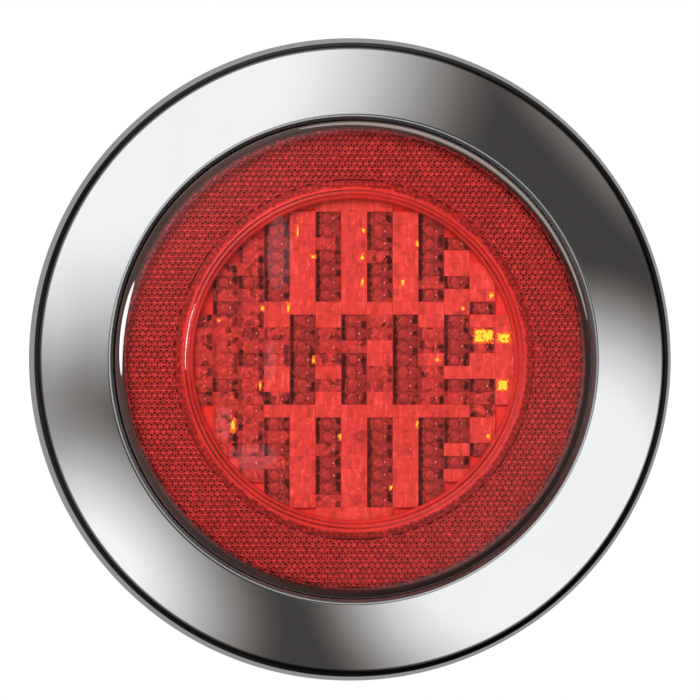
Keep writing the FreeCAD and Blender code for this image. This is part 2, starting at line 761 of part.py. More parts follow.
def resistors():
    """Flat chip resistors in rows on the back of the board."""
    return [behind_board(x, up, RESISTOR_BODY) for x in RESISTOR_COLUMNS for up in RESISTOR_ROWS]


def protection_diodes():
    """Block diodes that protect the board against a reversed supply."""
    return [behind_board(x, DIODE_UP, DIODE_BODY) for x in DIODE_PLACES]


def save(name, shapes):
    """Writes one node, made of one solid or several separate ones."""
    if not isinstance(shapes, list):
        shapes = [shapes]
    solids = [solid for shape in shapes for solid in shape.Solids]
    for solid in solids:
        if not solid.isValid() or not solid.isClosed() or solid.Volume <= 0:
            raise ValueError(f"{name} has a bad solid")
    node = solids[0] if len(solids) == 1 else Part.Compound(solids)
    node.exportStep(f"parts/{name}.step")
    print(f"{name}: {len(solids)} solids, {sum(s.Volume for s in solids) / 1000:.2f} cm3")


def main():
    os.makedirs("parts", exist_ok=True)
    outer_diodes = diode_places(outer=True)
    middle_diodes = diode_places(outer=False)
    save("trim_ring", trim_ring())
    save("lens", lens())
    save("lens_seal", lens_seal())
    save("reflex_ring", reflex_ring())
    save("reflex_back_plate", reflex_back_plate())
    save("optic_plate", optic_plate())
    save("reflector_tray", reflector_tray())
    save("circuit_board", circuit_board())
    save("board_screws", around(board_screw(), BOSS_ANGLES))
    save("tail_led_bodies", diode_bodies(outer_diodes))
    save("tail_led_lenses", diode_lenses(outer_diodes))
    save("stop_led_bodies", diode_bodies(middle_diodes))
    save("stop_led_lenses", diode_lenses(middle_diodes))
    save("voltage_regulators", voltage_regulators())
    save("capacitors", capacitors())
    save("resistors", resistors())
    save("protection_diodes", protection_diodes())
    save("housing", housing())
    save("connector_shell", connector_shell())
    save("connector_pins", connector_pins())
    save("connector_seal", connector_seal())
    save("vent_plug", vent_plug())
    save("vent_membrane", vent_membrane())
    save("mounting_gasket", mounting_gasket())
    save("screw_sleeves", around(screw_sleeve(), FIXING_ANGLES))
    save("mounting_washers", around(mounting_washer(), FIXING_ANGLES))
    save("mounting_screws", around(mounting_screw(), FIXING_ANGLES))


main()
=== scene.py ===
"""Looks for a round trailer tail light: chromed trim ring, red lens, reflex prisms, cell optic and black housing.

Metres, in the part's own frame: the lamp's axis is Y, the lens faces -Y, +Z is up. A place on the lamp is given as
a radius or an x and an up, with a height towards the viewer called "forward", so forward = -y.
"""

import math
import random

import bmesh
import bpy
from mathutils import Matrix, Vector, noise

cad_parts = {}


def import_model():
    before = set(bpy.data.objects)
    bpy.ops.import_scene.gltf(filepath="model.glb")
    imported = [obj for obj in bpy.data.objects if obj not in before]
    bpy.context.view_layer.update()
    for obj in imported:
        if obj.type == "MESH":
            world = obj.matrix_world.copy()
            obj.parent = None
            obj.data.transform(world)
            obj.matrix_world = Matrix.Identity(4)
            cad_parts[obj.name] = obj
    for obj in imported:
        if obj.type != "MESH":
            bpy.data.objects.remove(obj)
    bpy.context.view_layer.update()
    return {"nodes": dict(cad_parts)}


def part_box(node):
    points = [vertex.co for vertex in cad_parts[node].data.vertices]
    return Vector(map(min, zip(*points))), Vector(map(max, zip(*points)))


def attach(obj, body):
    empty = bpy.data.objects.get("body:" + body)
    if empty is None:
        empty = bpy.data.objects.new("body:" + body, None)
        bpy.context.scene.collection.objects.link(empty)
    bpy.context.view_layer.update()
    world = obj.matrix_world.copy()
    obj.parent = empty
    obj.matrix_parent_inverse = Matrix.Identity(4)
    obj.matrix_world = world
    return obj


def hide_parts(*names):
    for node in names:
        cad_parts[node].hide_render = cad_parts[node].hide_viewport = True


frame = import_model()

MM = 0.001
FINE = 320
COARSE = 128
rng = random.Random(7)


# ---------------------------------------------------------------- measures

def reach(node):
    """A CAD node's inner and outer radius about the lamp's axis."""
    radii = [math.hypot(v.co.x, v.co.z) for v in frame["nodes"][node].data.vertices]
    return min(radii), max(radii)


def heights(node):
    """A CAD node's rear and front, as heights towards the viewer."""
    low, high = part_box(node)
    return -high.y, -low.y


RIM_R = reach("trim_ring")[1]
RING_BACK = heights("trim_ring")[0]
LENS_R = reach("lens")[1]
LENS_BACK, LENS_APEX = heights("lens")
REFLEX_IN, REFLEX_OUT = reach("reflex_ring")
REFLEX_BACK, REFLEX_FRONT = heights("reflex_ring")
OPTIC_R = reach("optic_plate")[1]
OPTIC_BACK, OPTIC_FRONT = heights("optic_plate")

# Trim ring
RING_WALL_TOP_R = RIM_R - 1.6 * MM
RING_WALL_TOP = RING_BACK + 8.0 * MM
RING_OPENING_R = RIM_R - 19.6 * MM
RING_EDGE = RING_BACK + 17.0 * MM
RING_LIP_R = RING_OPENING_R - 0.8 * MM
RING_LIP_BOTTOM = RING_BACK + 10.4 * MM
RING_LIP_CHAMFER = 1.4 * MM
RING_FACE_TURN = 8.0
RING_SHOULDER = 3.0 * MM
RING_LIP_ROUND = 0.6 * MM
RING_SHELL = 2.2 * MM
RING_LIP_THICK = 1.6 * MM
RING_LEGS = 6
LEG_THICK = 1.8 * MM
LEG_HALF_WIDTH = 7.0 * MM
LEG_GAP = 0.3 * MM
LEG_CHAMFER = 0.3 * MM
STOP_THICK = 1.4 * MM
STOP_GAP = 0.15 * MM
STOP_IN = 2.5 * MM
STOP_DROP = 1.2 * MM
FLANGE_FRONT = RING_BACK + 4.4 * MM
# Runs of the face given a painted dark reflection of the room, and inside it a painted grey edge
RING_DARK_RUN = 0.36 * MM
RING_SHADE_RUN = 0.30 * MM

# Lens
LENS_WALL = 2.3 * MM
LENS_SHOULDER = LENS_APEX - 2.2 * MM
LENS_SAG = LENS_APEX - LENS_SHOULDER
LENS_SPHERE = (LENS_R**2 + LENS_SAG**2) / (2 * LENS_SAG)
LENS_ROUND = 3.6 * MM
LENS_FOOT_ROUND = 0.3 * MM
# Share of the lens's rounding past which the shoulder is opaque and dark: painted shade for the dark inside seen
# through the clear acrylic
SHOULDER_DARK_FROM = 0.35
WINDOW_R = 40.8 * MM
WINDOW_BEAD = 1.7 * MM
WINDOW_BEAD_DEPTH = 0.5 * MM
GROOVE_EDGE = 0.10 * MM
GROOVE_DEPTH = 0.08 * MM
BEAD_START = 0.18 * MM
BEAD_DROP = 0.06 * MM
BEAD_END = 0.15 * MM
BEAD_ROUND = 1.27 * MM
BEAD_TURN = 48.0
# Steps of the lens's outline over the window, the bead, the field round it and the back
WINDOW_STEPS, BEAD_STEPS, FIELD_STEPS, BACK_STEPS = 20, 14, 12, 24

# Painted rings behind the lens, in mm, whose tones are painted light and shade: the rim's rows are radius, height
# over its front, and tone
RIM_DROP = 0.75
RIM_ROWS = [
    (38.0, -1.7, 0.70), (38.3, 0.0, 0.78), (38.6, 0.2, 0.66), (38.85, 0.1, 0.08), (39.0, 0.1, 0.08),
    (39.2, 0.3, 0.62), (39.55, 0.4, 0.78), (39.75, 0.3, 0.50), (39.9, 0.1, 0.06), (40.08, 0.1, 0.08),
    (40.25, 0.3, 0.74), (40.45, 0.35, 0.90), (40.75, 0.2, 0.74),
]
RIM_ROWS += [(40.9 + 0.142 * k, 0.2 - 0.07 * k, 0.66) for k in range(12)]
RIM_ROWS += [(42.46, -0.9, 0.4), (42.2, -0.9, 0.4), (42.2, -4.6, 0.4), (40.8, -4.6, 0.4), (40.8, -0.9, 0.4),
             (38.7, -0.9, 0.4), (38.4, -1.9, 0.4)]
RIM_INNER_LINE = (38.8, 39.1)
RIM_OUTER_LINE = (39.8, 40.1)
RIM_CALM_R = 40.7
RIM_FIELD_R = 41.0
SHOULDER_FROM, SHOULDER_TO = 53.95, 54.85
SHOULDER_DROP = 0.45
SHOULDER_FALL = 0.4
SHOULDER_THICK = 0.1
SHOULDER_FIELD_R = 54.45
SHOULDER_STEPS = 8
PAINT_STEPS = 1536

# Reflex prisms
PRISM_SIDE = 1.41 * MM
PRISM_ROW = PRISM_SIDE * math.sqrt(3) / 2
PRISM_DEPTH = 0.62 * MM
PRISM_RIDGE = 0.15 * MM
PRISM_BASE = 0.25 * MM
PRISM_SUNK = 0.1 * MM
PRISM_MARGIN = 0.02 * MM
BAND_EDGE_WIDE = 1.6 * MM
BAND_CHAMFER = 0.2 * MM
# A pit's tone is painted shade: most lie in a dark range, the rest are light, and those near the inner edge are
# lifted as painted light where the rim shades them
PIT_DARK = (0.02, 0.42)
PIT_DARK_SHARE = 0.85
PIT_LIGHT = 0.62
PIT_EDGE = 0.9 * MM
PIT_EDGE_LIFT = 0.22
# How far past the ring's edges a pin's middle may lie
PIN_PAST_IN = 0.3 * MM
PIN_PAST_OUT = 0.6 * MM

# Cells
CELL_W = 6.1 * MM
CELL_H = CELL_W / 2
CELL_GAP = 0.04 * MM
CELL_STEPS = (30, 15)
CELLS_ACROSS = 6
CELLS_UP = 12
CELLS_R = OPTIC_R - 1.1 * MM
CELL_MIDDLE_R = CELLS_R - 0.9 * MM
CELL_FLOOR = OPTIC_FRONT - 1.3 * MM
CELL_SUNK = 0.1 * MM
CELL_DROP = 0.45 * MM
DARK_CELL_DROP = 0.65 * MM
CELL_CROWN = 0.06 * MM
BUMP_R = 1.3 * MM
BUMP_HEIGHT = 0.22 * MM

# Threads of the fixing screws
FIXING_CIRCLE_R = 63.0 * MM
FIXING_ANGLES = (90, 210, 330)
THREAD_START = -0.4 * MM
THREAD_R = 2.5 * MM
THREAD_ROOT = 2.08 * MM
THREAD_PITCH = 0.8 * MM
THREAD_TIP = 0.6 * MM
# A ridge's height along the pitch, as a share: its flat top's excess and its flanks' steepness
THREAD_TOP, THREAD_FLANK = 1.6, 4.0
THREAD_ROWS = 10
THREAD_STEPS = 36


# ---------------------------------------------------------------- mesh tools

def make_object(name, verts, faces, materials, indices=None, smooth_angle=32.0):
    """A mesh object, smooth except at edges sharper than the angle."""
    mesh = bpy.data.meshes.new(name)
    mesh.from_pydata(verts, [], faces)
    for material in materials:
        mesh.materials.append(material)
    if indices:
        mesh.polygons.foreach_set("material_index", indices)
    mesh.validate()
    mesh.shade_smooth()
    mesh.set_sharp_from_angle(angle=math.radians(smooth_angle))
    piece = bpy.data.objects.new(name, mesh)
    bpy.context.scene.collection.objects.link(piece)
    return piece


def settle(piece, slot, *nodes, body="lamp"):
    """Turns a closed piece's faces outwards and puts it on its body, in place of its CAD nodes. Its slot is not
    used.
    """
    bm = bmesh.new()
    bm.from_mesh(piece.data)
    bmesh.ops.recalc_face_normals(bm, faces=bm.faces)
    bm.to_mesh(piece.data)
    bm.free()
    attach(piece, body)
    if nodes:
        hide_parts(*nodes)
    return piece


def paint(piece, tones):
    """Gives each corner of a piece its tone, which its material reads."""
    piece.data.attributes.new("tone", "FLOAT", "POINT").data.foreach_set("value", tones)


def polar(radius, turn, forward, x=0.0, up=0.0):
    """A point at a radius and an angle in radians about the lamp's axis, or about a place on its face."""
    return (x + radius * math.cos(turn), -forward, up + radius * math.sin(turn))


def lathe_data(outline, segments=FINE):
    """Vertices and faces of a loop of (radius, forward) points turned about the lamp's axis."""
    verts, rows = [], []
    for radius, forward in outline:
        if radius < 1e-7:
            rows.append([len(verts)] * segments)
            verts.append((0.0, -forward, 0.0))
            continue
        rows.append(list(range(len(verts), len(verts) + segments)))
        verts += [polar(radius, 2 * math.pi * k / segments, forward) for k in range(segments)]
    faces = []
    for row, after in zip(rows, rows[1:] + rows[:1]):
        for k in range(segments):
            m = (k + 1) % segments
            ring = [row[k], after[k], after[m], row[m]]
            face = [v for i, v in enumerate(ring) if v != ring[i - 1]]
            if len(set(face)) > 2:
                faces.append(face)
    return verts, faces


def trace(start, heading, stretches, arc_step=3.0):
    """Points of an outline from a start, heading at an angle in degrees. Each stretch is (length, turn)."""
    radius, forward = start
    points = [start]
    for length, turn in stretches:
        steps = max(1, math.ceil(abs(turn) / arc_step))
        for _ in range(steps):
            heading += turn / steps / 2
            radius += length / steps * math.cos(math.radians(heading))
            forward += length / steps * math.sin(math.radians(heading))
            heading += turn / steps / 2
            points.append((radius, forward))
    return points


def rounded(corners, arc_step=10.0):
    """A loop of (radius, forward, rounding) corners as points, with each rounded corner an arc."""
    points = []
    for i, (radius, forward, rounding) in enumerate(corners):
        here = Vector((radius, forward))
        if rounding <= 0:
            points.append((radius, forward))
            continue
        before = (Vector(corners[i - 1][:2]) - here).normalized()
        after = (Vector(corners[(i + 1) % len(corners)][:2]) - here).normalized()
        half = before.angle(after) / 2
        reach_along = rounding / math.tan(half)
        centre = here + (before + after).normalized() * (rounding / math.sin(half))
        first = here + before * reach_along - centre
        last = here + after * reach_along - centre
        sweep = first.angle_signed(last)
        steps = max(2, math.ceil(abs(math.degrees(sweep)) / arc_step))
        for k in range(steps + 1):
            turn = -sweep * k / steps
            x = first.x * math.cos(turn) - first.y * math.sin(turn)
            y = first.x * math.sin(turn) + first.y * math.cos(turn)
            points.append((centre.x + x, centre.y + y))
    return points


def merge(parts):
    """Several (vertices, faces) as one."""
    verts, faces = [], []
    for part_verts, part_faces in parts:
        base = len(verts)
        verts += part_verts
        faces += [[base + v for v in face] for face in part_faces]
    return verts, faces


def tube(rows, count):
    """The quads between closed rows of corners that follow one another, each with the same count."""
    faces = []
    for i in range(rows - 1):
        a, b = i * count, (i + 1) * count
        for k in range(count):
            m = (k + 1) % count
            faces.append([a + k, a + m, b + m, b + k])
    return faces


def sector(inner, outer, back, front, middle, half_width, chamfer, steps=10):
    """A short curved bar of rectangular section with chamfered long edges, at an angle about the axis."""
    section = [
        (inner + chamfer, back), (outer - chamfer, back), (outer, back + chamfer),
        (outer, front - chamfer), (outer - chamfer, front), (inner + chamfer, front),
        (inner, front - chamfer), (inner, back + chamfer),
    ]
    verts = []
    span = half_width / inner
    for k in range(steps + 1):
        turn = math.radians(middle) + span * (2 * k / steps - 1)
        verts += [polar(radius, turn, forward) for radius, forward in section]
    n = len(section)
    faces = tube(steps + 1, n)
    faces.append(list(range(n))[::-1])
    faces.append([steps * n + i for i in range(n)])
    return verts, faces


def plate(outline, thickness, middle):
    """A thin radial plate: an outline of (radius, forward) given a thickness, at an angle about the axis."""
    turn = math.radians(middle)
    along = Vector((math.cos(turn), 0, math.sin(turn)))
    across = Vector((-math.sin(turn), 0, math.cos(turn))) * thickness / 2
    verts = []
    for side in (-1, 1):
        for radius, forward in outline:
            point = along * radius + across * side
            verts.append((point.x, -forward, point.z))
    n = len(outline)
    faces = [list(range(n)), [n + i for i in range(n)][::-1]]
    faces += [[i, n + i, n + (i + 1) % n, (i + 1) % n] for i in range(n)]
    return verts, faces


# ---------------------------------------------------------------- materials

class Nodes:
    """A short way to build the node tree of one material or world."""

    def __init__(self, name, kind="Material"):
        owners = bpy.data.worlds if kind == "World" else bpy.data.materials
        self.owner = owners.new(name)
        self.owner.use_nodes = True
        self.tree = self.owner.node_tree
        self.tree.nodes.clear()
        self.output = self.tree.nodes.new("ShaderNodeOutput" + kind)

    def add(self, kind, *values, operation=None, **inputs):
        """A node with its sockets filled: values go to the first ones in order, inputs by name."""
        node = self.tree.nodes.new("ShaderNode" + kind)
        if operation:
            node.operation = operation
        for place, value in list(enumerate(values)) + list(inputs.items()):
            socket = node.inputs[place.replace("_", " ") if isinstance(place, str) else place]
            if isinstance(value, bpy.types.NodeSocket):
                self.tree.links.new(value, socket)
            else:
                socket.default_value = value
        return node

    def place(self):
        return self.add("TexCoord").outputs["Object"]

    def noise(self, scale, detail=3.0, rough=0.55):
        node = self.add("TexNoise", Vector=self.place(), Scale=scale, Detail=detail, Roughness=rough)
        return node.outputs["Fac"]

    def ramp(self, value, stops):
        node = self.add("ValToRGB", value)
        elements = node.color_ramp.elements
        while len(elements) < len(stops):
            elements.new(0.5)
        for element, (position, colour) in zip(elements, stops):
            element.position = position
            element.color = (*colour, 1.0)
        return node.outputs["Color"]

    def span(self, value, low, high, from_low=0.0, from_high=1.0):
        """A value's place between two bounds as a place between low and high."""
        return self.add("MapRange", value, from_low, from_high, low, high).outputs["Result"]

    def math(self, operation, first, second=0.0):
        return self.add("Math", first, second, operation=operation).outputs["Value"]

    def bump(self, height, strength, distance):
        return self.add("Bump", Height=height, Strength=strength, Distance=distance).outputs["Normal"]

    def light_path(self, name):
        return self.add("LightPath").outputs[name]

    def surface(self, colour, **inputs):
        return self.add("BsdfPrincipled", Base_Color=colour, **inputs).outputs["BSDF"]

    def mix(self, share, first, second):
        """The second shader by its share, and the first for the rest."""
        return self.add("MixShader", share, first, second).outputs["Shader"]

    def finish(self, shader):
        self.tree.links.new(shader, self.output.inputs["Surface"])
        return self.owner


ACRYLIC = 1.49
WHITE_LIGHT = (1.0, 1.0, 1.0, 1.0)


def moulded(name, dark, light, rough, grain, depth, patch=60.0):
    """Moulded plastic or rubber: two close colours in soft patches, a fine grain and an uneven sheen."""
    n = Nodes(name)
    colour = n.ramp(n.noise(patch), [(0.35, dark), (0.68, light)])
    fine = n.noise(grain, 4.0, 0.6)
    sheen = n.span(fine, rough - 0.08, rough + 0.08)
    return n.finish(n.surface(colour, Roughness=sheen, Normal=n.bump(fine, 0.35, depth)))


def plated(name, dark, light, rough_low, rough_high, scale, depth=0.0, metallic=1.0, **more):
    """Metal or metal plating: close tones and a roughness that wanders a little."""
    n = Nodes(name)
    colour = n.ramp(n.noise(scale), [(0.3, dark), (0.7, light)])
    sheen = n.span(n.noise(scale * 6, 4.0), rough_low, rough_high)
    if depth:
        more["Normal"] = n.bump(n.noise(scale * 9, 2.0), 0.3, depth)
    return n.finish(n.surface(colour, Roughness=sheen, Metallic=metallic, **more))


def brushed(name, dark, light, rough):
    """Turned or rolled steel with fine scratches along one way."""
    n = Nodes(name)
    stretched = n.add("Mapping", Vector=n.place(), Scale=(1.0, 14.0, 1.0)).outputs["Vector"]
    lines = n.add("TexNoise", Vector=stretched, Scale=900.0, Detail=3.0).outputs["Fac"]
    colour = n.ramp(lines, [(0.3, dark), (0.7, light)])
    sheen = n.span(lines, rough - 0.08, rough + 0.1)
    return n.finish(n.surface(colour, Roughness=sheen, Metallic=1.0, Normal=n.bump(lines, 0.2, 0.00002)))


def lens_material():
    """Transparent red acrylic: it tints what lies behind it and mirrors the studio by its Fresnel share.

    Light goes straight through, so the cap's inner surface is given the inverse index and mirrors like the outer.
    """
    n = Nodes("lens_red")
    tint = n.ramp(n.noise(45.0), [(0.3, (0.97, 0.66, 0.64)), (0.7, (0.985, 0.69, 0.67))])
    through = n.add("BsdfTransparent", Color=tint).outputs["BSDF"]
    rough = n.span(n.noise(300.0), 0.015, 0.04)
    gloss = n.add("BsdfGlossy", Color=WHITE_LIGHT, Roughness=rough).outputs["BSDF"]
    index = n.span(n.add("NewGeometry").outputs["Backfacing"], ACRYLIC, 1 / ACRYLIC)
    return n.finish(n.mix(n.add("Fresnel", IOR=index).outputs["Fac"], through, gloss))


def red_plastic(name, dark, light, rough, scale, relief=0.00012, shadow=None):
    """Red acrylic seen against what backs it, with mottled depth. Given a shadow colour, it lets light by."""
    n = Nodes(name)
    colour = n.ramp(n.noise(scale, 5.0, 0.65), [(0.32, dark), (0.68, light)])
    normal = n.bump(n.noise(scale * 2.2, 3.0), 0.25, relief)
    shader = n.surface(colour, Roughness=rough, IOR=ACRYLIC, Normal=normal)
    if shadow:
        by = n.add("BsdfTransparent", Color=(*shadow, 1.0)).outputs["BSDF"]
        shader = n.mix(n.light_path("Is Shadow Ray"), shader, by)
    return n.finish(shader)


def toned_plastic(name, stops, rough, scale, wander):
    """Red acrylic whose depth of colour and painted light and shade are set on its corners as "tone", with fine
    mottling added.
    """
    n = Nodes(name)
    tone = n.add("Attribute")
    tone.attribute_name = "tone"
    mottling = n.span(n.noise(scale, 5.0, 0.65), -wander, wander, 0.25, 0.75)
    total = n.add("Math", tone.outputs["Fac"], mottling, operation="ADD")
    total.use_clamp = True
    normal = n.bump(n.noise(scale * 2.2, 3.0), 0.2, 0.0001)
    colour = n.ramp(total.outputs["Value"], stops)
    return n.finish(n.surface(colour, Roughness=rough, IOR=ACRYLIC, Normal=normal))


def glint_material(name, colour, glow, strength):
    """A painted glint: a small bead with a bright colour and a glow of its own, standing for light the optic
    catches.
    """
    n = Nodes(name)
    base = n.ramp(n.noise(2500.0), [(0.3, tuple(0.75 * c for c in colour)), (0.7, colour)])
    return n.finish(n.surface(base, Roughness=0.15, Emission_Color=(*glow, 1.0), Emission_Strength=strength))


CHROME = plated("chrome", (0.90, 0.905, 0.915), (0.94, 0.945, 0.95), 0.015, 0.045, 30.0)
# Painted reflection: a near black band of plating on the ring's shoulder stands for the dark room the chrome
# mirrors there, with a grey band softening its inner edge
CHROME_DARK_REFLECTION = plated("chrome_painted_dark_reflection", (0.055, 0.053, 0.050), (0.075, 0.072, 0.068), 0.03, 0.06, 30.0)
CHROME_SHADE = plated("chrome_shade", (0.30, 0.29, 0.28), (0.36, 0.35, 0.34), 0.03, 0.06, 30.0)
LENS_RED = lens_material()
# Prism tones run from painted shade in the pits to painted highlights on the ridges
PRISM = toned_plastic("reflex_prism", [
    (0.0, (0.18, 0.075, 0.070)), (0.35, (0.33, 0.10, 0.095)),
    (0.7, (0.54, 0.145, 0.135)), (1.0, (0.84, 0.33, 0.30)),
], 0.3, 700.0, 0.16)
CELL = toned_plastic("optic_cell", [
    (0.0, (0.045, 0.034, 0.036)), (0.22, (0.18, 0.092, 0.088)), (0.42, (0.37, 0.142, 0.134)),
    (0.75, (0.76, 0.245, 0.230)), (0.9, (0.86, 0.33, 0.305)), (1.0, (0.93, 0.54, 0.49)),
], 0.12, 1100.0, 0.085)
BAND_EDGE = red_plastic("reflex_edge", (0.07, 0.035, 0.03), (0.13, 0.05, 0.045), 0.3, 90.0)
BAND = red_plastic("reflex_band", (0.70, 0.10, 0.09), (0.86, 0.15, 0.14), 0.2, 160.0)
PLATE = red_plastic("optic_base", (0.82, 0.15, 0.14), (0.97, 0.21, 0.20), 0.16, 200.0)
EDGE_RED = red_plastic("lens_edge", (0.13, 0.045, 0.038), (0.21, 0.055, 0.046), 0.3, 60.0)
# Painted shade: the shoulder of the clear lens is dark and opaque, standing for the dark housing seen through it,
# while shadow rays still pass
SHOULDER_PAINTED_SHADE = red_plastic(
    "lens_shoulder_painted_shade", (0.022, 0.013, 0.011), (0.036, 0.016, 0.014), 0.05, 60.0, 0.000002, (0.97, 0.68, 0.66))
# The rim's tones give its dark and light lines: painted shade and painted highlights of the rib behind the bead
WINDOW_RIM = toned_plastic("window_rim_line", [
    (0.0, (0.13, 0.05, 0.045)), (0.5, (0.50, 0.10, 0.09)), (1.0, (0.82, 0.18, 0.16)),
], 0.4, 900.0, 0.10)
# A painted image of the outer prisms' light and shade, as the lens's rounded shoulder magnifies them
SHOULDER_FIELD = toned_plastic("shoulder_field", [
    (0.0, (0.06, 0.016, 0.014)), (0.4, (0.24, 0.035, 0.03)), (1.0, (0.70, 0.10, 0.09)),
], 0.4, 900.0, 0.10)
# Painted highlight: the lip's rounded edge glows faintly, standing for the bright line of light it catches
LIP_EDGE_HIGHLIGHT = plated("lip_edge_painted_highlight", (0.84, 0.87, 0.90), (0.92, 0.95, 0.97), 0.42, 0.5, 40.0,
                  Emission_Color=(0.9, 0.96, 1.0, 1.0), Emission_Strength=0.3)
# Painted light: the lip's inner wall, which lies in shade, is given a light grey so it reads as lit
LIP_WALL_LIGHTENED = plated("lip_wall_painted_light", (0.50, 0.50, 0.50), (0.62, 0.62, 0.62), 0.4, 0.5, 40.0, metallic=0.1)
# The lip is a dull satin in place of chrome, its grey set to stand for the grey reflection the plated lip shows:
# partly a finish, partly a painted reflection
LIP = plated("lip_satin_painted_grey", (0.13, 0.127, 0.127), (0.19, 0.186, 0.186), 0.3, 0.4, 40.0, metallic=0.15)
PAINTED_PALE_GLINT = glint_material("glint_pale", (1.0, 0.92, 0.80), (1.0, 0.8, 0.7), 0.12)
PAINTED_AMBER_GLINT = glint_material("glint_amber", (1.0, 0.55, 0.05), (1.0, 1.5, 0.10), 1.0)
PAINTED_ORANGE_GLINT = glint_material("glint_orange", (0.9, 0.30, 0.05), (0.55, 0.30, 0.03), 1.0)
BLACK = moulded("black_abs", (0.026, 0.026, 0.028), (0.042, 0.042, 0.045), 0.42, 1900.0, 0.00009)
BACKING = moulded("backing_black", (0.010, 0.009, 0.009), (0.02, 0.017, 0.017), 0.55, 1200.0, 0.00005)
RUBBER = moulded("rubber", (0.024, 0.024, 0.023), (0.038, 0.037, 0.036), 0.8, 1300.0, 0.00025)
NYLON = moulded("nylon", (0.035, 0.035, 0.038), (0.06, 0.06, 0.063), 0.36, 2600.0, 0.00005, 240.0)
GREY = moulded("grey_plastic", (0.09, 0.09, 0.095), (0.14, 0.14, 0.145), 0.5, 2000.0, 0.00003)
WHITE = moulded("white_package", (0.62, 0.61, 0.57), (0.78, 0.77, 0.74), 0.5, 3000.0, 0.00002, 700.0)
EPOXY = moulded("black_epoxy", (0.012, 0.012, 0.014), (0.025, 0.025, 0.028), 0.5, 3500.0, 0.00002, 500.0)
CHIP = moulded("chip_ceramic", (0.02, 0.02, 0.024), (0.07, 0.065, 0.06), 0.45, 3500.0, 0.00002, 900.0)
FILM = moulded("membrane_film", (0.66, 0.66, 0.64), (0.8, 0.8, 0.78), 0.8, 5000.0, 0.00002, 900.0)
BOARD = moulded("board_green", (0.008, 0.07, 0.03), (0.015, 0.12, 0.05), 0.3, 1400.0, 0.00002, 240.0)
DOME = moulded("led_dome", (0.66, 0.12, 0.08), (0.85, 0.3, 0.2), 0.15, 900.0, 0.00001, 300.0)
METALLISED = plated("metallised", (0.78, 0.78, 0.79), (0.88, 0.88, 0.89), 0.06, 0.14, 60.0, 0.00002)
ZINC = plated("zinc_plate", (0.55, 0.57, 0.56), (0.72, 0.72, 0.70), 0.22, 0.36, 220.0, 0.00002)
STEEL = brushed("stainless", (0.50, 0.50, 0.49), (0.68, 0.68, 0.67), 0.28)
TIN = plated("tinned_brass", (0.60, 0.58, 0.52), (0.76, 0.74, 0.68), 0.16, 0.3, 320.0)
CAN = brushed("aluminium_can", (0.62, 0.62, 0.63), (0.78, 0.78, 0.79), 0.3)

KEPT = {
    "reflex_back_plate": BACKING, "reflector_tray": METALLISED, "lens_seal": RUBBER, "connector_seal": RUBBER,
    "circuit_board": BOARD, "board_screws": ZINC, "tail_led_bodies": WHITE, "stop_led_bodies": WHITE,
    "tail_led_lenses": DOME, "stop_led_lenses": DOME, "voltage_regulators": EPOXY, "protection_diodes": EPOXY,
    "resistors": CHIP, "capacitors": CAN, "vent_membrane": FILM, "screw_sleeves": ZINC, "connector_pins": TIN,
    "housing": BLACK, "connector_shell": NYLON, "mounting_gasket": RUBBER, "mounting_washers": STEEL,
    "vent_plug": GREY,
}


def dress_kept_nodes():
    """Gives each CAD node that stays its own procedural material."""
    for node, material in KEPT.items():
        mesh = frame["nodes"][node].data
        mesh.materials.clear()
        mesh.materials.append(material)


# ---------------------------------------------------------------- pieces

# The ring's finishes from its opening outwards, each with the radius it ends at. Besides the chrome they are
# painted light: a lighter lip wall, a grey satin lip for its grey reflection, a glowing highlight on the lip's
# edge, and on the shoulder a painted dark reflection with a grey inner edge
RING_BANDS = [
    (LIP_WALL_LIGHTENED, RING_OPENING_R - 0.7 * MM), (LIP, RING_OPENING_R - 0.12 * MM),
    (LIP_EDGE_HIGHLIGHT, RING_OPENING_R + 0.12 * MM), (CHROME, RIM_R - 3.40 * MM),
    (CHROME_SHADE, RIM_R - 3.05 * MM), (CHROME_DARK_REFLECTION, RIM_R - 1.57 * MM), (CHROME, math.inf),
]


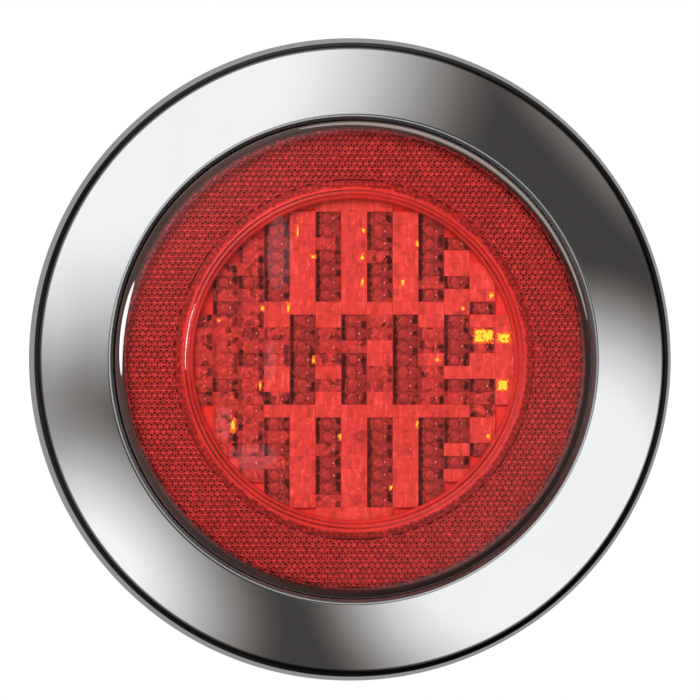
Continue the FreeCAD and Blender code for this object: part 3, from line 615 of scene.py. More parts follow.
def trim_ring():
    """The chromed ring: a turned shell, six legs that grip the flange and six stops."""
    wall = Vector((RING_WALL_TOP_R - RIM_R, RING_WALL_TOP - RING_BACK))
    face = Vector((RING_OPENING_R - RING_WALL_TOP_R, RING_EDGE - RING_WALL_TOP))
    chamfer = Vector((RING_LIP_R - RING_OPENING_R, -RING_LIP_CHAMFER))
    lip_length = RING_EDGE - RING_LIP_CHAMFER - RING_LIP_BOTTOM
    heading = [math.degrees(math.atan2(v.y, v.x)) % 360 for v in (wall, face, chamfer)]
    outer_turn = heading[1] - RING_FACE_TURN / 2 - heading[0]
    inner_turn = heading[2] - heading[1] - RING_FACE_TURN / 2
    outer_cut = RING_SHOULDER * math.tan(math.radians(outer_turn) / 2)
    lip_turn = 270 - heading[2]
    inner_cut = RING_LIP_ROUND * math.tan(math.radians(inner_turn) / 2)
    lip_cut = RING_LIP_ROUND * math.tan(math.radians(lip_turn) / 2)
    face_run = face.length - outer_cut - inner_cut
    face_runs = (RING_DARK_RUN, RING_SHADE_RUN, face_run - RING_DARK_RUN - RING_SHADE_RUN)
    skin = trace((RIM_R, RING_BACK), heading[0], [
        (wall.length - outer_cut, 0),
        (RING_SHOULDER * math.radians(outer_turn), outer_turn),
        *[(run, RING_FACE_TURN * run / face_run) for run in face_runs],
        (RING_LIP_ROUND * math.radians(inner_turn), inner_turn),
        (chamfer.length - inner_cut - lip_cut, 0),
        (RING_LIP_ROUND * math.radians(lip_turn), lip_turn),
        (lip_length - lip_cut, 0),
    ], arc_step=1.5)
    lip_r = RING_LIP_R + RING_LIP_THICK
    slope = (RING_EDGE - RING_WALL_TOP) / (RING_WALL_TOP_R - RING_OPENING_R)

    def face_at(radius):
        return RING_WALL_TOP + (RING_WALL_TOP_R - radius) * slope

    under_r = RING_WALL_TOP_R - RING_SHELL * 0.8
    under = RING_WALL_TOP - RING_SHELL * 1.05
    inside = rounded([
        (lip_r, skin[-1][1], 0.0),
        (lip_r, under + (under_r - lip_r) * slope, 0.8 * MM),
        (under_r, under, 1.5 * MM),
        (RIM_R - RING_SHELL * 0.8, RING_BACK, 0.0),
    ])
    leg_r = reach("housing")[1] + LEG_GAP
    leg_top = face_at(leg_r) - RING_SHELL * 0.7
    rib_low = FLANGE_FRONT + STOP_GAP
    rib_in = RING_OPENING_R + STOP_IN
    rib_top = [face_at(r) - STOP_DROP for r in (rib_in, leg_r + MM)]
    parts = [lathe_data(skin + inside)]
    for k in range(RING_LEGS):
        middle = 360 / RING_LEGS * k
        parts.append(sector(leg_r, leg_r + LEG_THICK, MM, leg_top, middle, LEG_HALF_WIDTH, LEG_CHAMFER))
        outline = [(rib_in, rib_low), (leg_r + MM, rib_low), (leg_r + MM, rib_top[1]), (rib_in, rib_top[0])]
        parts.append(plate(outline, STOP_THICK, middle))
    verts, faces = merge(parts)
    finishes_and_painted_light = [CHROME, LIP, LIP_EDGE_HIGHLIGHT, LIP_WALL_LIGHTENED, CHROME_DARK_REFLECTION, CHROME_SHADE]
    indices = []
    for face in faces:
        middle = sum((Vector(verts[v]) for v in face), Vector()) / len(face)
        radius = math.hypot(middle.x, middle.z)
        # Each face takes its band by radius, chrome or painted light
        finish = next(band for band, outer in RING_BANDS if radius < outer)
        indices.append(finishes_and_painted_light.index(finish))
    piece = make_object("trim_ring_chrome", verts, faces, finishes_and_painted_light, indices)
    settle(piece, "chrome_plated_plastic", "trim_ring", body="trim")


def dome(radius):
    """Height of the lens's outer surface at a radius."""
    return LENS_APEX - LENS_SPHERE + math.sqrt(LENS_SPHERE**2 - radius**2)


def lens():
    """The red cap, with a bead in a shallow groove round the window. The bead falls off outwards."""
    groove_in = WINDOW_R - WINDOW_BEAD
    front = [(r, dome(r)) for r in (groove_in * k / WINDOW_STEPS for k in range(WINDOW_STEPS + 1))]
    crest = groove_in + BEAD_START
    front.append((crest - GROOVE_EDGE, dome(crest) - GROOVE_DEPTH))
    for k in range(BEAD_STEPS + 1):
        turn = math.radians(BEAD_TURN * k / BEAD_STEPS)
        radius = crest + BEAD_ROUND * math.sin(turn)
        front.append((radius, dome(radius) - BEAD_DROP - BEAD_ROUND * (1 - math.cos(turn))))
    front.append((WINDOW_R - BEAD_END, dome(WINDOW_R) - WINDOW_BEAD_DEPTH))
    front.append((WINDOW_R, dome(WINDOW_R)))
    slope = (dome(LENS_R - LENS_ROUND) - dome(LENS_R - LENS_ROUND + 0.1 * MM)) / (0.1 * MM)
    edge = LENS_R - LENS_ROUND * (1 - math.sin(math.atan(slope)))
    wide = edge - WINDOW_R
    front += [(r, dome(r)) for r in (WINDOW_R + wide * k / FIELD_STEPS for k in range(1, FIELD_STEPS))]
    tilt = math.degrees(math.atan2(dome(edge) - dome(edge + 0.1 * MM), 0.1 * MM))
    shoulder = trace((edge, dome(edge)), -tilt, [(LENS_ROUND * math.radians(90 - tilt), tilt - 90)])
    shoulder[-1] = (LENS_R, shoulder[-1][1])
    inner_r = LENS_R - LENS_WALL
    bottom = rounded([(LENS_R, LENS_BACK, LENS_FOOT_ROUND), (inner_r, LENS_BACK, LENS_FOOT_ROUND),
                      (inner_r, dome(inner_r) - LENS_WALL, LENS_ROUND - LENS_WALL)])
    start = bottom[-1][0]
    inner = [start * (1 - k / BACK_STEPS) for k in range(1, BACK_STEPS + 1)]
    back = [(r, dome(r) - LENS_WALL) for r in inner]
    verts, faces = lathe_data(front + shoulder + bottom + back)
    # Past SHOULDER_DARK_FROM the shoulder takes the painted shade material
    clear = sum(1 for radius, _ in front + shoulder if radius < edge + LENS_ROUND * SHOULDER_DARK_FROM)
    skirt = len(front + shoulder)
    wall = skirt + len(bottom) - 1
    rows = [k // FINE for k in range(len(faces))]
    indices = [0 if row < clear or row >= wall else 2 if row < skirt else 1 for row in rows]
    piece = make_object("lens_cap", verts, faces, [LENS_RED, EDGE_RED, SHOULDER_PAINTED_SHADE], indices)
    settle(piece, "red_lens", "lens")
    return piece


def field_tone(x, up):
    """The reflex prisms' light and shade as a tone, painted highlights on the ridges over painted shade in the
    pits, where the cap's own rim and shoulder repeat them.
    """
    nearest = 1.0
    for way in (0, 60, 120):
        turn = math.radians(way)
        line = (up * math.cos(turn) - x * math.sin(turn)) / PRISM_ROW
        nearest = min(nearest, abs((line + 0.5) % 1 - 0.5))
    ridge = 1 - step(nearest, 0.02, 0.15)
    cloud = noise.noise(Vector((x, up, 0.002)) * 700)
    return 0.02 + 0.16 * cloud + ridge * (0.50 + 0.35 * noise.noise(Vector((x, up, 0.0)) * 900))


def painted_ring(name, rows, material, tone_at):
    """A turned piece whose corners carry a tone. Rows are (radius in mm, forward in mm, tone)."""
    verts, faces = lathe_data([(r * MM, forward * MM) for r, forward, _ in rows], PAINT_STEPS)
    piece = make_object(name, verts, faces, [material])
    tones = []
    for radius, _, tone in rows:
        for k in range(PAINT_STEPS):
            turn = 2 * math.pi * k / PAINT_STEPS
            tones.append(tone_at(radius, tone, math.cos(turn), math.sin(turn)))
    paint(piece, tones)
    settle(piece, "red_lens")


def rim_tone(radius, tone, c, s):
    """The rim's tone, wandering round the window, with painted highlights along its two lines, and past it the
    reflex field's painted light and shade with a ragged start.
    """
    wander = noise.noise(Vector((3 * c, 3 * s, tone)))
    fleck = noise.noise(Vector((30 * c, 30 * s, 4 * tone)))
    own = tone + 0.20 * wander + (0.16 if radius < RIM_CALM_R else 0.30) * fleck
    # Painted highlight along the inner line, brightest at top, bottom, left and right
    if RIM_INNER_LINE[0] < radius < RIM_INNER_LINE[1]:
        own += 0.36 * (1 - abs(2 * s * c))
    # Painted highlight along the outer line, brighter towards the right
    if RIM_OUTER_LINE[0] < radius < RIM_OUTER_LINE[1]:
        own += 0.18 * (1 + c)
    start = RIM_FIELD_R + 0.7 * noise.noise(Vector((40 * c, 40 * s, 1.0)))
    share = step(radius, start - 0.1, start + 0.1)
    return own * (1 - share) + share * field_tone(radius * MM * c, radius * MM * s)


def shoulder_tone(radius, tone, c, s):
    """A painted image of the reflex field's outermost prisms, their light and shade seen through the shoulder,
    dying away raggedly.
    """
    end = SHOULDER_FIELD_R + 0.6 * noise.noise(Vector((50 * c, 50 * s, 2.0)))
    return tone * field_tone(radius * MM * c, radius * MM * s) * (1 - step(radius, end - 0.1, end + 0.15))


def painted_rings():
    """The moulded rim behind the window's bead, its light and dark lines painted on, and under the lens's shoulder
    a painted image of the reflex field's edge, as the rounded shoulder magnifies it.
    """
    front = (dome(WINDOW_R) - LENS_WALL) / MM - RIM_DROP
    painted_ring("window_rim", [(r, front + lift, tone) for r, lift, tone in RIM_ROWS], WINDOW_RIM, rim_tone)
    front = dome(SHOULDER_FROM * MM) / MM - SHOULDER_DROP
    shares = [k / SHOULDER_STEPS for k in range(SHOULDER_STEPS + 1)]
    rows = [(SHOULDER_FROM + (SHOULDER_TO - SHOULDER_FROM) * k, front - SHOULDER_FALL * k, 1.0) for k in shares]
    rows += [(r, forward - SHOULDER_THICK, 0.5) for r, forward, _ in reversed(rows)]
    painted_ring("shoulder_field", rows, SHOULDER_FIELD, shoulder_tone)


def ridge_tone(start, end):
    """A painted highlight: how bright a ridge looks, by the way it runs and by where it lies round the ring, as
    the light falls on it.
    """
    across, up = end[0] - start[0], end[1] - start[1]
    x, z = (start[0] + end[0]) / 2, (start[1] + end[1]) / 2
    around = math.atan2(z, x)
    patch = 0.5 + 0.5 * noise.noise(Vector((x, z, 0)) * 90)
    if abs(up) < 0.1 * PRISM_ROW:
        share = 0.62 - 0.30 * math.cos(around)
    elif across * up > 0:
        share = 0.42 + 0.22 * math.cos(around - 0.9)
    else:
        share = 0.42 + 0.34 * math.cos(around + 1.9)
    return 0.22 + 0.55 * share + 0.22 * (patch - 0.5) + rng.uniform(-0.10, 0.12)


def reflex_ring():
    """The reflex reflector: a flat band with a field of small three-sided pits, painted dark as shade, between
    ridges painted bright as highlights.
    """
    base_front = REFLEX_FRONT - PRISM_DEPTH - PRISM_BASE
    outline = [(REFLEX_IN, REFLEX_BACK), (REFLEX_OUT, REFLEX_BACK), (REFLEX_OUT, base_front),
               (REFLEX_OUT - BAND_EDGE_WIDE, base_front), (REFLEX_IN + BAND_CHAMFER, base_front),
               (REFLEX_IN, base_front - BAND_CHAMFER)]
    verts, faces = lathe_data(outline)
    outer = [int(k // FINE in (1, 2)) for k in range(len(faces))]
    band = make_object("reflex_band", verts, faces, [BAND, BAND_EDGE], outer)
    settle(band, "red_reflex")

    verts, tones, faces = [], [], []
    made = {}

    def add(x, up, forward, tone):
        """A corner, kept between the ring's inner and outer radius."""
        radius = math.hypot(x, up)
        kept = min(max(radius, REFLEX_IN + PRISM_MARGIN), REFLEX_OUT - PRISM_MARGIN)
        verts.append((x * kept / radius, -forward, up * kept / radius))
        tones.append(tone)
        return len(verts) - 1

    def shared(key, forward, tone):
        """A corner that neighbours share, at a point in half steps of the lattice."""
        if (key, forward) not in made:
            i, j = key
            made[key, forward] = add(PRISM_SIDE * (i + j / 2) / 2, PRISM_ROW * j / 2, forward, tone())
        return made[key, forward]

    count = int(REFLEX_OUT / PRISM_ROW) + 2
    cells = []
    for j in range(-count, count):
        for i in range(-2 * count, 2 * count):
            for triangle in (((i, j), (i + 1, j), (i, j + 1)), ((i + 1, j), (i + 1, j + 1), (i, j + 1))):
                x = sum(PRISM_SIDE * (a + b / 2) for a, b in triangle) / 3
                up = sum(PRISM_ROW * b for a, b in triangle) / 3
                pin = next(c for c in triangle if (c[0] - c[1]) % 3 == 0)
                pin_r = math.hypot(PRISM_SIDE * (pin[0] + pin[1] / 2), PRISM_ROW * pin[1])
                kept = REFLEX_IN - PIN_PAST_IN < pin_r < REFLEX_OUT + PIN_PAST_OUT
                if kept and REFLEX_IN < math.hypot(x, up) < REFLEX_OUT:
                    cells.append((triangle, x, up))
    sides = {}
    for triangle, x, up in cells:
        corners = [(PRISM_SIDE * (a + b / 2), PRISM_ROW * b) for a, b in triangle]
        front, back, inner = [], [], []
        for k in range(3):
            m = (k + 1) % 3
            key = (2 * triangle[k][0], 2 * triangle[k][1])
            half = (triangle[k][0] + triangle[m][0], triangle[k][1] + triangle[m][1])
            front.append(shared(key, REFLEX_FRONT, lambda: rng.uniform(0.55, 1.0)))
            front.append(shared(half, REFLEX_FRONT, lambda: ridge_tone(corners[k], corners[m])))
            back.append(shared(key, base_front - PRISM_SUNK, lambda: 0.5))
            back.append(shared(half, base_front - PRISM_SUNK, lambda: 0.5))
        depth = rng.uniform(*PIT_DARK) if rng.random() < PIT_DARK_SHARE else PIT_LIGHT
        # Painted light: pits near the inner edge are lifted where the rim shades them
        if math.hypot(x, up) < REFLEX_IN + PIT_EDGE:
            depth += PIT_EDGE_LIFT
        for k, place in enumerate(front):
            vx, _, vz = verts[place]
            away = math.hypot(x - vx, up - vz)
            share = min(0.6, (2 if k % 2 == 0 else 1) * PRISM_RIDGE / away)
            tone = 0.3 * tones[place] + 0.7 * depth
            inner.append(add(vx + (x - vx) * share, vz + (up - vz) * share, REFLEX_FRONT - 0.03 * MM, tone))
        # Each pit's bottom is darker still: painted shade
        bottom = add(x, up, REFLEX_FRONT - PRISM_DEPTH, depth * 0.7)
        for k in range(6):
            m = (k + 1) % 6
            faces.append([front[k], front[m], inner[m], inner[k]])
            faces.append([inner[k], inner[m], bottom])
        faces.append(back[::-1])
        for k in range(3):
            pair = tuple(sorted((triangle[k], triangle[(k + 1) % 3])))
            start, middle, end = 2 * k, 2 * k + 1, (2 * k + 2) % 6
            sides.setdefault(pair, []).append([
                [front[middle], front[start], back[start], back[middle]],
                [front[end], front[middle], back[middle], back[end]],
            ])
    for walls in sides.values():
        if len(walls) == 1:
            faces += walls[0]
    piece = make_object("reflex_prisms", verts, faces, [PRISM], smooth_angle=8.0)
    paint(piece, tones)
    settle(piece, "red_reflex", "reflex_ring")


DARK, MIDDLE, BRIGHT = 0, 1, 2


def cell_kind(column, row):
    """Dark over the diodes' pockets, bright between them, and mixed towards the left and right edges."""
    level = abs(row)
    if abs(column) in (1, 3) and 5 <= level <= 11:
        return DARK if rng.random() < 0.86 else MIDDLE
    if column in (-2, 0, 2) and level <= 3:
        return DARK if rng.random() < 0.84 else MIDDLE
    if abs(column) <= 3 and level == 4:
        return BRIGHT
    if abs(column) in (1, 3) and level <= 3:
        return BRIGHT if rng.random() < 0.45 else MIDDLE
    if column <= -4:
        return MIDDLE if rng.random() < 0.8 else DARK
    if column in (4, 5):
        return rng.choice((BRIGHT, BRIGHT, MIDDLE, DARK))
    return BRIGHT


def step(value, low, high):
    """0 below low, 1 above high, and a smooth rise between."""
    share = min(1.0, max(0.0, (value - low) / (high - low)))
    return share * share * (3 - 2 * share)


def cell_paint(kind, look, x, z, u, v):
    """The tone at (u, v) of a cell, each from -1 to 1: an oval, a dark strip at the left and blotches."""
    seed, strip, shift, stretch = look
    cloud = noise.noise(Vector((x * 420, z * 420, seed)))
    fine = noise.noise(Vector((x * 1300, z * 1300, seed + 9)))
    streak = noise.noise(Vector((x * 330, z * 560, 3.0)))
    if kind == BRIGHT:
        wave = noise.noise(Vector((x * 700, z * 260, seed)))
        thread = step(noise.noise(Vector((x * 1500, z * 330, 7.0))), 0.30, 0.42)
        ripple = 0.12 * step(wave, 0.15, 0.4) - 0.12 * step(-wave, 0.2, 0.45)
        seam = 0.14 * step(abs(u), 0.90, 1.0) - 0.10 * step(abs(v), 0.86, 1.0) * step(streak, -0.1, 0.3)
        return 0.69 + 0.07 * fine + ripple + seam + 0.16 * thread - 0.20 * step(cloud, 0.3, 0.6) * strip
    away = math.hypot((u + 0.12 + shift) * CELL_W / 2, v * CELL_H / 2 * stretch) / BUMP_R
    outline = step(away, 0.82, 0.98) * (1 - step(away, 1.0, 1.2))
    inside = 1 - step(away, 0.80, 0.95)
    ragged = 0.07 * noise.noise(Vector((0, z * 900, 5.0))) + 0.10 * fine
    torn = 0.16 * noise.noise(Vector((x * 800, z * 1000, 11.0))) + 0.14 * fine
    left = step(-u, 0.62 + ragged, 0.74 + ragged) * (1 - step(-u, 0.97, 1.0)) * strip
    right = step(u, 0.50 + torn, 0.64 + torn) * (1 - step(u, 0.90 + 0.3 * torn, 1.0))
    right *= step(streak + torn, -0.12, 0.10)
    crescent = step(away, 1.1, 1.25) * (1 - step(away, 1.35, 1.5)) * step(fine, 0.0, 0.3)
    seam = step(abs(v), 0.86, 1.0) * step(streak, 0.0, 0.3)
    if kind == DARK:
        oval = 0.10 * inside - 0.15 * outline * step(cloud, -0.45, -0.1)
        tone = 0.36 + 0.09 * cloud + 0.09 * fine + oval + 0.12 * crescent + 0.14 * seam
        return tone - 0.36 * left - 0.33 * right
    oval = (0.10 * inside - 0.20 * outline) * step(cloud, -0.2, 0.1)
    blotch = step(cloud, 0.2, 0.42)
    tone = 0.56 + 0.12 * cloud + 0.10 * fine + oval - 0.36 * blotch + 0.18 * crescent + 0.16 * seam
    return tone - 0.30 * left - 0.34 * right


def bead(x, up, forward, wide, high, rise, segments=8):
    """A low faceted dome, closed below."""
    verts, faces = [], []
    for share, lift in ((1.0, -0.1 * MM), (1.0, 0.0), (0.6, rise * 0.75)):
        for k in range(segments):
            turn = 2 * math.pi * (k + 0.5) / segments
            across, along = wide * share * math.cos(turn), high * share * math.sin(turn)
            verts.append((x + across, -(forward + lift), up + along))
    verts.append((x, -(forward + rise), up))
    top = len(verts) - 1
    for k in range(segments):
        m = (k + 1) % segments
        faces.append([k, m, segments + m, segments + k])
        faces.append([segments + k, segments + m, 2 * segments + m, 2 * segments + k])
        faces.append([2 * segments + k, 2 * segments + m, top])
    faces.append(list(range(segments))[::-1])
    return verts, faces


# Painted glints where whole cells catch the light: centre x and up, width and height in mm
BIG_GLINTS = [(30.8, 5.6, 4.0, 2.6), (35.6, 5.1, 2.5, 1.9), (35.3, -6.1, 2.0, 2.0)]
# Painted glints where the optic catches it in a point: cell column and row, place across the cell, half width and
# height in mm
SMALL_GLINTS = [
    (5, 5, 0.7, 0.4, 0.5), (5, -6, 0.45, 0.35, 0.4), (-2, 8, 0.84, 0.4, 0.3), (0, 8, 0.65, 0.35, 0.5),
    (0, 6, 0.65, 0.3, 0.6), (-3, 4, 0.9, 0.25, 0.8), (-2, 0, 0.85, 0.25, 0.5), (3, 0, 0.46, 0.4, 0.3),
    (2, 9, 0.92, 0.2, 0.5), (-5, -5, 0.6, 0.35, 1.2), (-4, 4, 0.88, 0.25, 0.4), (0, 10, 0.75, 0.3, 0.4),
    (2, 6, -0.2, 0.3, 0.5), (-1, -6, 0.9, 0.25, 0.5), (1, -10, 0.9, 0.25, 0.4), (-2, 10, -0.4, 0.15, 0.9),
    (4, 4, 0.5, 0.3, 0.3), (-4, -2, 0.7, 0.2, 0.6), (-5, 3, -0.5, 0.3, 0.3), (2, -5, 0.9, 0.2, 0.6),
]
# The painted pale glints of a cell: place across it, chance, half width and half height in mm
PALE_GLINTS = [(0.38, 0.94, 0.21, 0.36), (-0.44, 0.5, 0.13, 0.28)]
BIG_GLINT_PITCH = 0.5


def glints(tops):
    """Painted glints: small glowing beads where the optic catches the light, pale ones in every cell, a few amber
    ones.
    """
    pale, amber, orange = [], [], []
    for (column, row), (kind, top) in tops.items():
        for place, chance, wide, high in PALE_GLINTS:
            if rng.random() > chance or (kind == BRIGHT and rng.random() < 0.55):
                continue
            size = rng.uniform(0.7, 1.15) * (0.8 if kind == BRIGHT else 1.0)
            x = column * CELL_W + place * CELL_W / 2 + rng.uniform(-0.08, 0.08) * MM
            up = row * CELL_H + rng.uniform(-0.15, 0.15) * MM
            pale.append(bead(x, up, top - 0.02 * MM, wide * size * MM, high * size * MM, 0.12 * MM))
    for x, up, wide, high in BIG_GLINTS:
        across, along = round(wide / BIG_GLINT_PITCH), round(high / BIG_GLINT_PITCH)
        for i in range(-1, across + 1):
            for j in range(-1, along + 1):
                inside = 0 <= i < across and 0 <= j < along
                group = amber if inside and rng.random() < 0.82 else orange
                place_x = x + wide * ((i + 0.5) / across - 0.5) + rng.uniform(-0.1, 0.1)
                place_up = up + high * ((j + 0.5) / along - 0.5) + rng.uniform(-0.1, 0.1)
                size = rng.uniform(0.27, 0.38) if inside else rng.uniform(0.12, 0.26)
                front = OPTIC_FRONT - 0.2 * MM
                group.append(bead(place_x * MM, place_up * MM, front, size * MM, size * MM, 0.1 * MM, 7))
    for column, row, place, wide, high in SMALL_GLINTS:
        kind, top = tops[column, row]
        x, up = column * CELL_W + place * CELL_W / 2, row * CELL_H
        for group, pieces, spread, least, most, rise in (
            (orange, 11, 1.6, 0.40, 0.95, 0.12), (amber, 4, 0.6, 0.50, 0.95, 0.2),
        ):
            for _ in range(pieces):
                across = x + rng.uniform(-spread, spread) * wide * MM
                along = up + rng.uniform(-spread, spread) * high * MM
                size = rng.uniform(least, most) * MM
                group.append(bead(across, along, top + 0.02 * MM, wide * size, high * size, rise * MM, 7))
    for name, parts, material in (
        ("glints_pale", pale, PAINTED_PALE_GLINT), ("glints_amber", amber, PAINTED_AMBER_GLINT), ("glints_orange", orange, PAINTED_ORANGE_GLINT),
    ):
        verts, faces = merge(parts)
        piece = make_object(name, verts, faces, [material])
        settle(piece, "red_optic")


def optic_plate():
    """The cell optic: a plain disc, and on it a grid of cells, each with a round bump over a flat field."""
    verts, faces = lathe_data(rounded([
        (0.0, OPTIC_BACK, 0.0), (OPTIC_R, OPTIC_BACK, 0.0),
        (OPTIC_R, CELL_FLOOR, 0.3 * MM), (0.0, CELL_FLOOR, 0.0),
    ]), COARSE)
    settle(make_object("optic_base", verts, faces, [PLATE]), "red_optic")

    across, high = CELL_STEPS
    verts, faces, tones, tops = [], [], [], {}
    for column in range(-CELLS_ACROSS, CELLS_ACROSS + 1):
        strip = rng.uniform(0.75, 1.0)
        for row in range(-CELLS_UP, CELLS_UP + 1):
            cx, cz = column * CELL_W, row * CELL_H
            if math.hypot(cx, cz) > CELL_MIDDLE_R:
                continue
            kind = cell_kind(column, row)
            left = strip * (1.0 if kind == DARK else rng.choice((1.0, 0.8, 0.5, 0.15)))
            look = (rng.uniform(0, 50), left, rng.uniform(-0.12, 0.12), rng.choice((1.0, 1.0, 0.85, 0.62)))
            gap = CELL_GAP if kind != BRIGHT else 0.0
            top = OPTIC_FRONT - (DARK_CELL_DROP if kind == DARK else CELL_DROP)
            top += rng.uniform(-0.05, 0.05) * MM if kind != BRIGHT else 0.0
            tops[column, row] = (kind, top)
            first = len(verts)
            for b in range(high + 1):
                for a in range(across + 1):
                    u, v = 2 * a / across - 1, 2 * b / high - 1
                    x = cx + u * (CELL_W / 2 - CELL_GAP)
                    z = cz + v * (CELL_H / 2 - gap)
                    away = math.hypot((u + 0.12) * CELL_W / 2, v * CELL_H / 2) / BUMP_R
                    swell = BUMP_HEIGHT * (1 - step(away, 0.3, 1.0)) if kind != BRIGHT else 0.0
                    lift = top + swell + CELL_CROWN * (1 - u * u) * (1 - v * v if kind != BRIGHT else 1.0)
                    r = math.hypot(x, z)
                    if r > CELLS_R:
                        x, z = x * CELLS_R / r, z * CELLS_R / r
                    verts.append((x, -min(lift, OPTIC_FRONT), z))
                    tones.append(cell_paint(kind, look, x, z, u, v))
            stride = across + 1
            for b in range(high):
                for a in range(across):
                    i = first + b * stride + a
                    faces.append([i, i + 1, i + 1 + stride, i + stride])
            rim = [first + a for a in range(across + 1)]
            rim += [first + b * stride + across for b in range(1, high + 1)]
            rim += [first + high * stride + a for a in range(across - 1, -1, -1)]
            rim += [first + b * stride for b in range(high - 1, 0, -1)]
            low = len(verts)
            for v in rim:
                x, _, z = verts[v]
                verts.append((x, -(CELL_FLOOR - CELL_SUNK), z))
                tones.append(tones[v])
            n = len(rim)
            for k in range(n):
                m = (k + 1) % n
                faces.append([rim[k], low + k, low + m, rim[m]])
            faces.append([low + k for k in range(n)])
    piece = make_object("optic_cells", verts, faces, [CELL], smooth_angle=40.0)
    paint(piece, tones)
    settle(piece, "red_optic", "optic_plate")
    glints(tops)


def caps(faces):
    """A face across each loop of edges that have a face on one side only."""
    sides = [side for face in faces for side in zip(face, face[1:] + face[:1])]
    known = set(sides)
    ahead = {b: a for a, b in sides if (b, a) not in known}
    loops = []
    while ahead:
        first = next(iter(ahead))
        loop = [first]
        corner = ahead.pop(first)
        while corner != first:
            loop.append(corner)
            corner = ahead.pop(corner)
        loops.append(loop)
    return loops


def mounting_screws():
    """The three fixing screws: the CAD node's heads and shanks, with a rolled thread turned on each stud."""
    node = frame["nodes"]["mounting_screws"].data
    corners = {}
    shared = [corners.setdefault(tuple(round(c, 7) for c in v.co), v.index) for v in node.vertices]
    heads = [[shared[v] for v in p.vertices] for p in node.polygons
             if max(-node.vertices[v].co.y for v in p.vertices) > THREAD_START + 0.01 * MM]
    parts = [([tuple(v.co) for v in node.vertices], heads + caps(heads))]
    _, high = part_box("mounting_screws")
    end = -high.y
    rows = math.ceil((THREAD_START - end) / THREAD_PITCH * THREAD_ROWS)
    for around in FIXING_ANGLES:
        cx = FIXING_CIRCLE_R * math.cos(math.radians(around))
        cz = FIXING_CIRCLE_R * math.sin(math.radians(around))
        verts = []
        for i in range(rows + 1):
            forward = THREAD_START + (end - THREAD_START) * i / rows
            lead = min(1.0, (THREAD_START - forward) / THREAD_PITCH)
            tip = min(1.0, (forward - end) / THREAD_TIP)
            for k in range(THREAD_STEPS):
                phase = ((THREAD_START - forward) / THREAD_PITCH + k / THREAD_STEPS) % 1.0
                ridge = min(1.0, max(0.0, THREAD_TOP - THREAD_FLANK * abs(phase - 0.5)))
                crest = THREAD_ROOT + (THREAD_R - THREAD_ROOT) * ridge * lead
                radius = min(crest, THREAD_R - THREAD_TIP * (1 - tip))
                verts.append(polar(radius, 2 * math.pi * k / THREAD_STEPS, forward, cx, cz))
        faces = [list(range(THREAD_STEPS))[::-1], list(range(rows * THREAD_STEPS, (rows + 1) * THREAD_STEPS))]
        parts.append((verts, faces + tube(rows + 1, THREAD_STEPS)))
    verts, faces = merge(parts)
    used = sorted({v for face in faces for v in face})
    place = {v: i for i, v in enumerate(used)}
    faces = [[place[v] for v in face] for face in faces]
    piece = make_object("mounting_screws_threaded", [verts[v] for v in used], faces, [STEEL], smooth_angle=40.0)
    settle(piece, "stainless_steel", "mounting_screws")


# ---------------------------------------------------------------- studio

CAMERA_TURN = math.radians(2.5)
CAMERA_DISTANCE = 1.0
FIELD = 0.169
AIM_UP = 2.27 * MM
AIM_RIGHT = -0.2 * MM


def camera():
    """The photographer's place: a metre in front, a little to the left of the axis, level."""
    data = bpy.data.cameras.new("camera")
    data.sensor_width = 36.0
    data.lens = data.sensor_width * CAMERA_DISTANCE / FIELD
    data.clip_start = 0.01
    piece = bpy.data.objects.new("camera", data)
    bpy.context.scene.collection.objects.link(piece)
    forward = Vector((math.sin(CAMERA_TURN), math.cos(CAMERA_TURN), 0.0))
    right = Vector((forward.y, -forward.x, 0.0))
    piece.location = right * AIM_RIGHT + Vector((0, 0, AIM_UP)) - forward * CAMERA_DISTANCE
    piece.rotation_euler = forward.to_track_quat("-Z", "Y").to_euler()
    bpy.context.scene.camera = piece


def towards(around, off_axis):
    """The direction that lies off_axis degrees from the lamp's axis, at an angle about it."""
    a, o = math.radians(around), math.radians(off_axis)
    return Vector((math.sin(o) * math.cos(a), -math.cos(o), math.sin(o) * math.sin(a)))


# Soft boxes in front of the lamp: angle about the axis, angle off it, full to, gone by, brightness
SOFT_BOXES = [
    (127, 69, 23, 64, 0.89),
    (322, 52, 21, 47, 0.89),
    (221, 68, 0, 36, 1.04),
    (177, 74, 14, 24, 0.09),
    (41, 96, 0, 38, 1.10),
    (131, 26, 0, 23, 1.20),
]
# Paler walls beside and above the lamp, which only its sides mirror
SIDES = [(90, 95, 0, 75, 0.55), (0, 100, 0, 50, 0.20), (190, 95, 0, 55, 0.30), (250, 100, 0, 40, 0.12)]
# Degrees off the axis between which the soft boxes stop, and between which the walls beside start
FRONT_EDGE = (67.3, 68.7)
SIDES_START = (70.0, 84.0)
# The pale wall behind the lamp: degrees off straight back it is full to and gone by, and its brightness
BEHIND = (31.0, 46.0, 0.27)
ROOM = 0.028
SHADE = 0.03
BRIGHTEST = 0.93
# Round lamps: angle about the axis, angle off it, width and power
LAMPS = [
    ("key", 120, 35, 0.75, 14.6), ("fill", 320, 40, 0.75, 8.8),
    ("behind", 70, 145, 1.0, 13.0), ("behind_low", 215, 135, 1.0, 6.0),
]
LAMP_DISTANCE = 1.2
# Lamps that show on the lens's shoulder: the angles, width and height, radiance and colour
WINDOWS = [
    ("left_window", 172, 76, (0.78, 0.50), 21.0, (1.0, 1.0, 1.0)),
    ("right_window", 55, 113, (1.55, 2.2), 4.0, (1.0, 0.88, 0.82)),
]
# Faint reflections on the lens: centre x and up, width and height, all in mm
SHEENS = [(-18, 25, 7, 20), (-20, -1, 3, 12), (-31, -15, 4, 9), (-24, -23, 13, 7)]
SHEEN_DISTANCE = 0.8
SHEEN_SPREAD = 3.5
SHEEN_RADIANCE = 0.6
SHEEN_COLOUR = (0.75, 0.82, 1.0)
FLOOR_HALF = 1.5
FLOOR_DROP = 0.35
FLOOR_FADE = (0.40, 1.25)


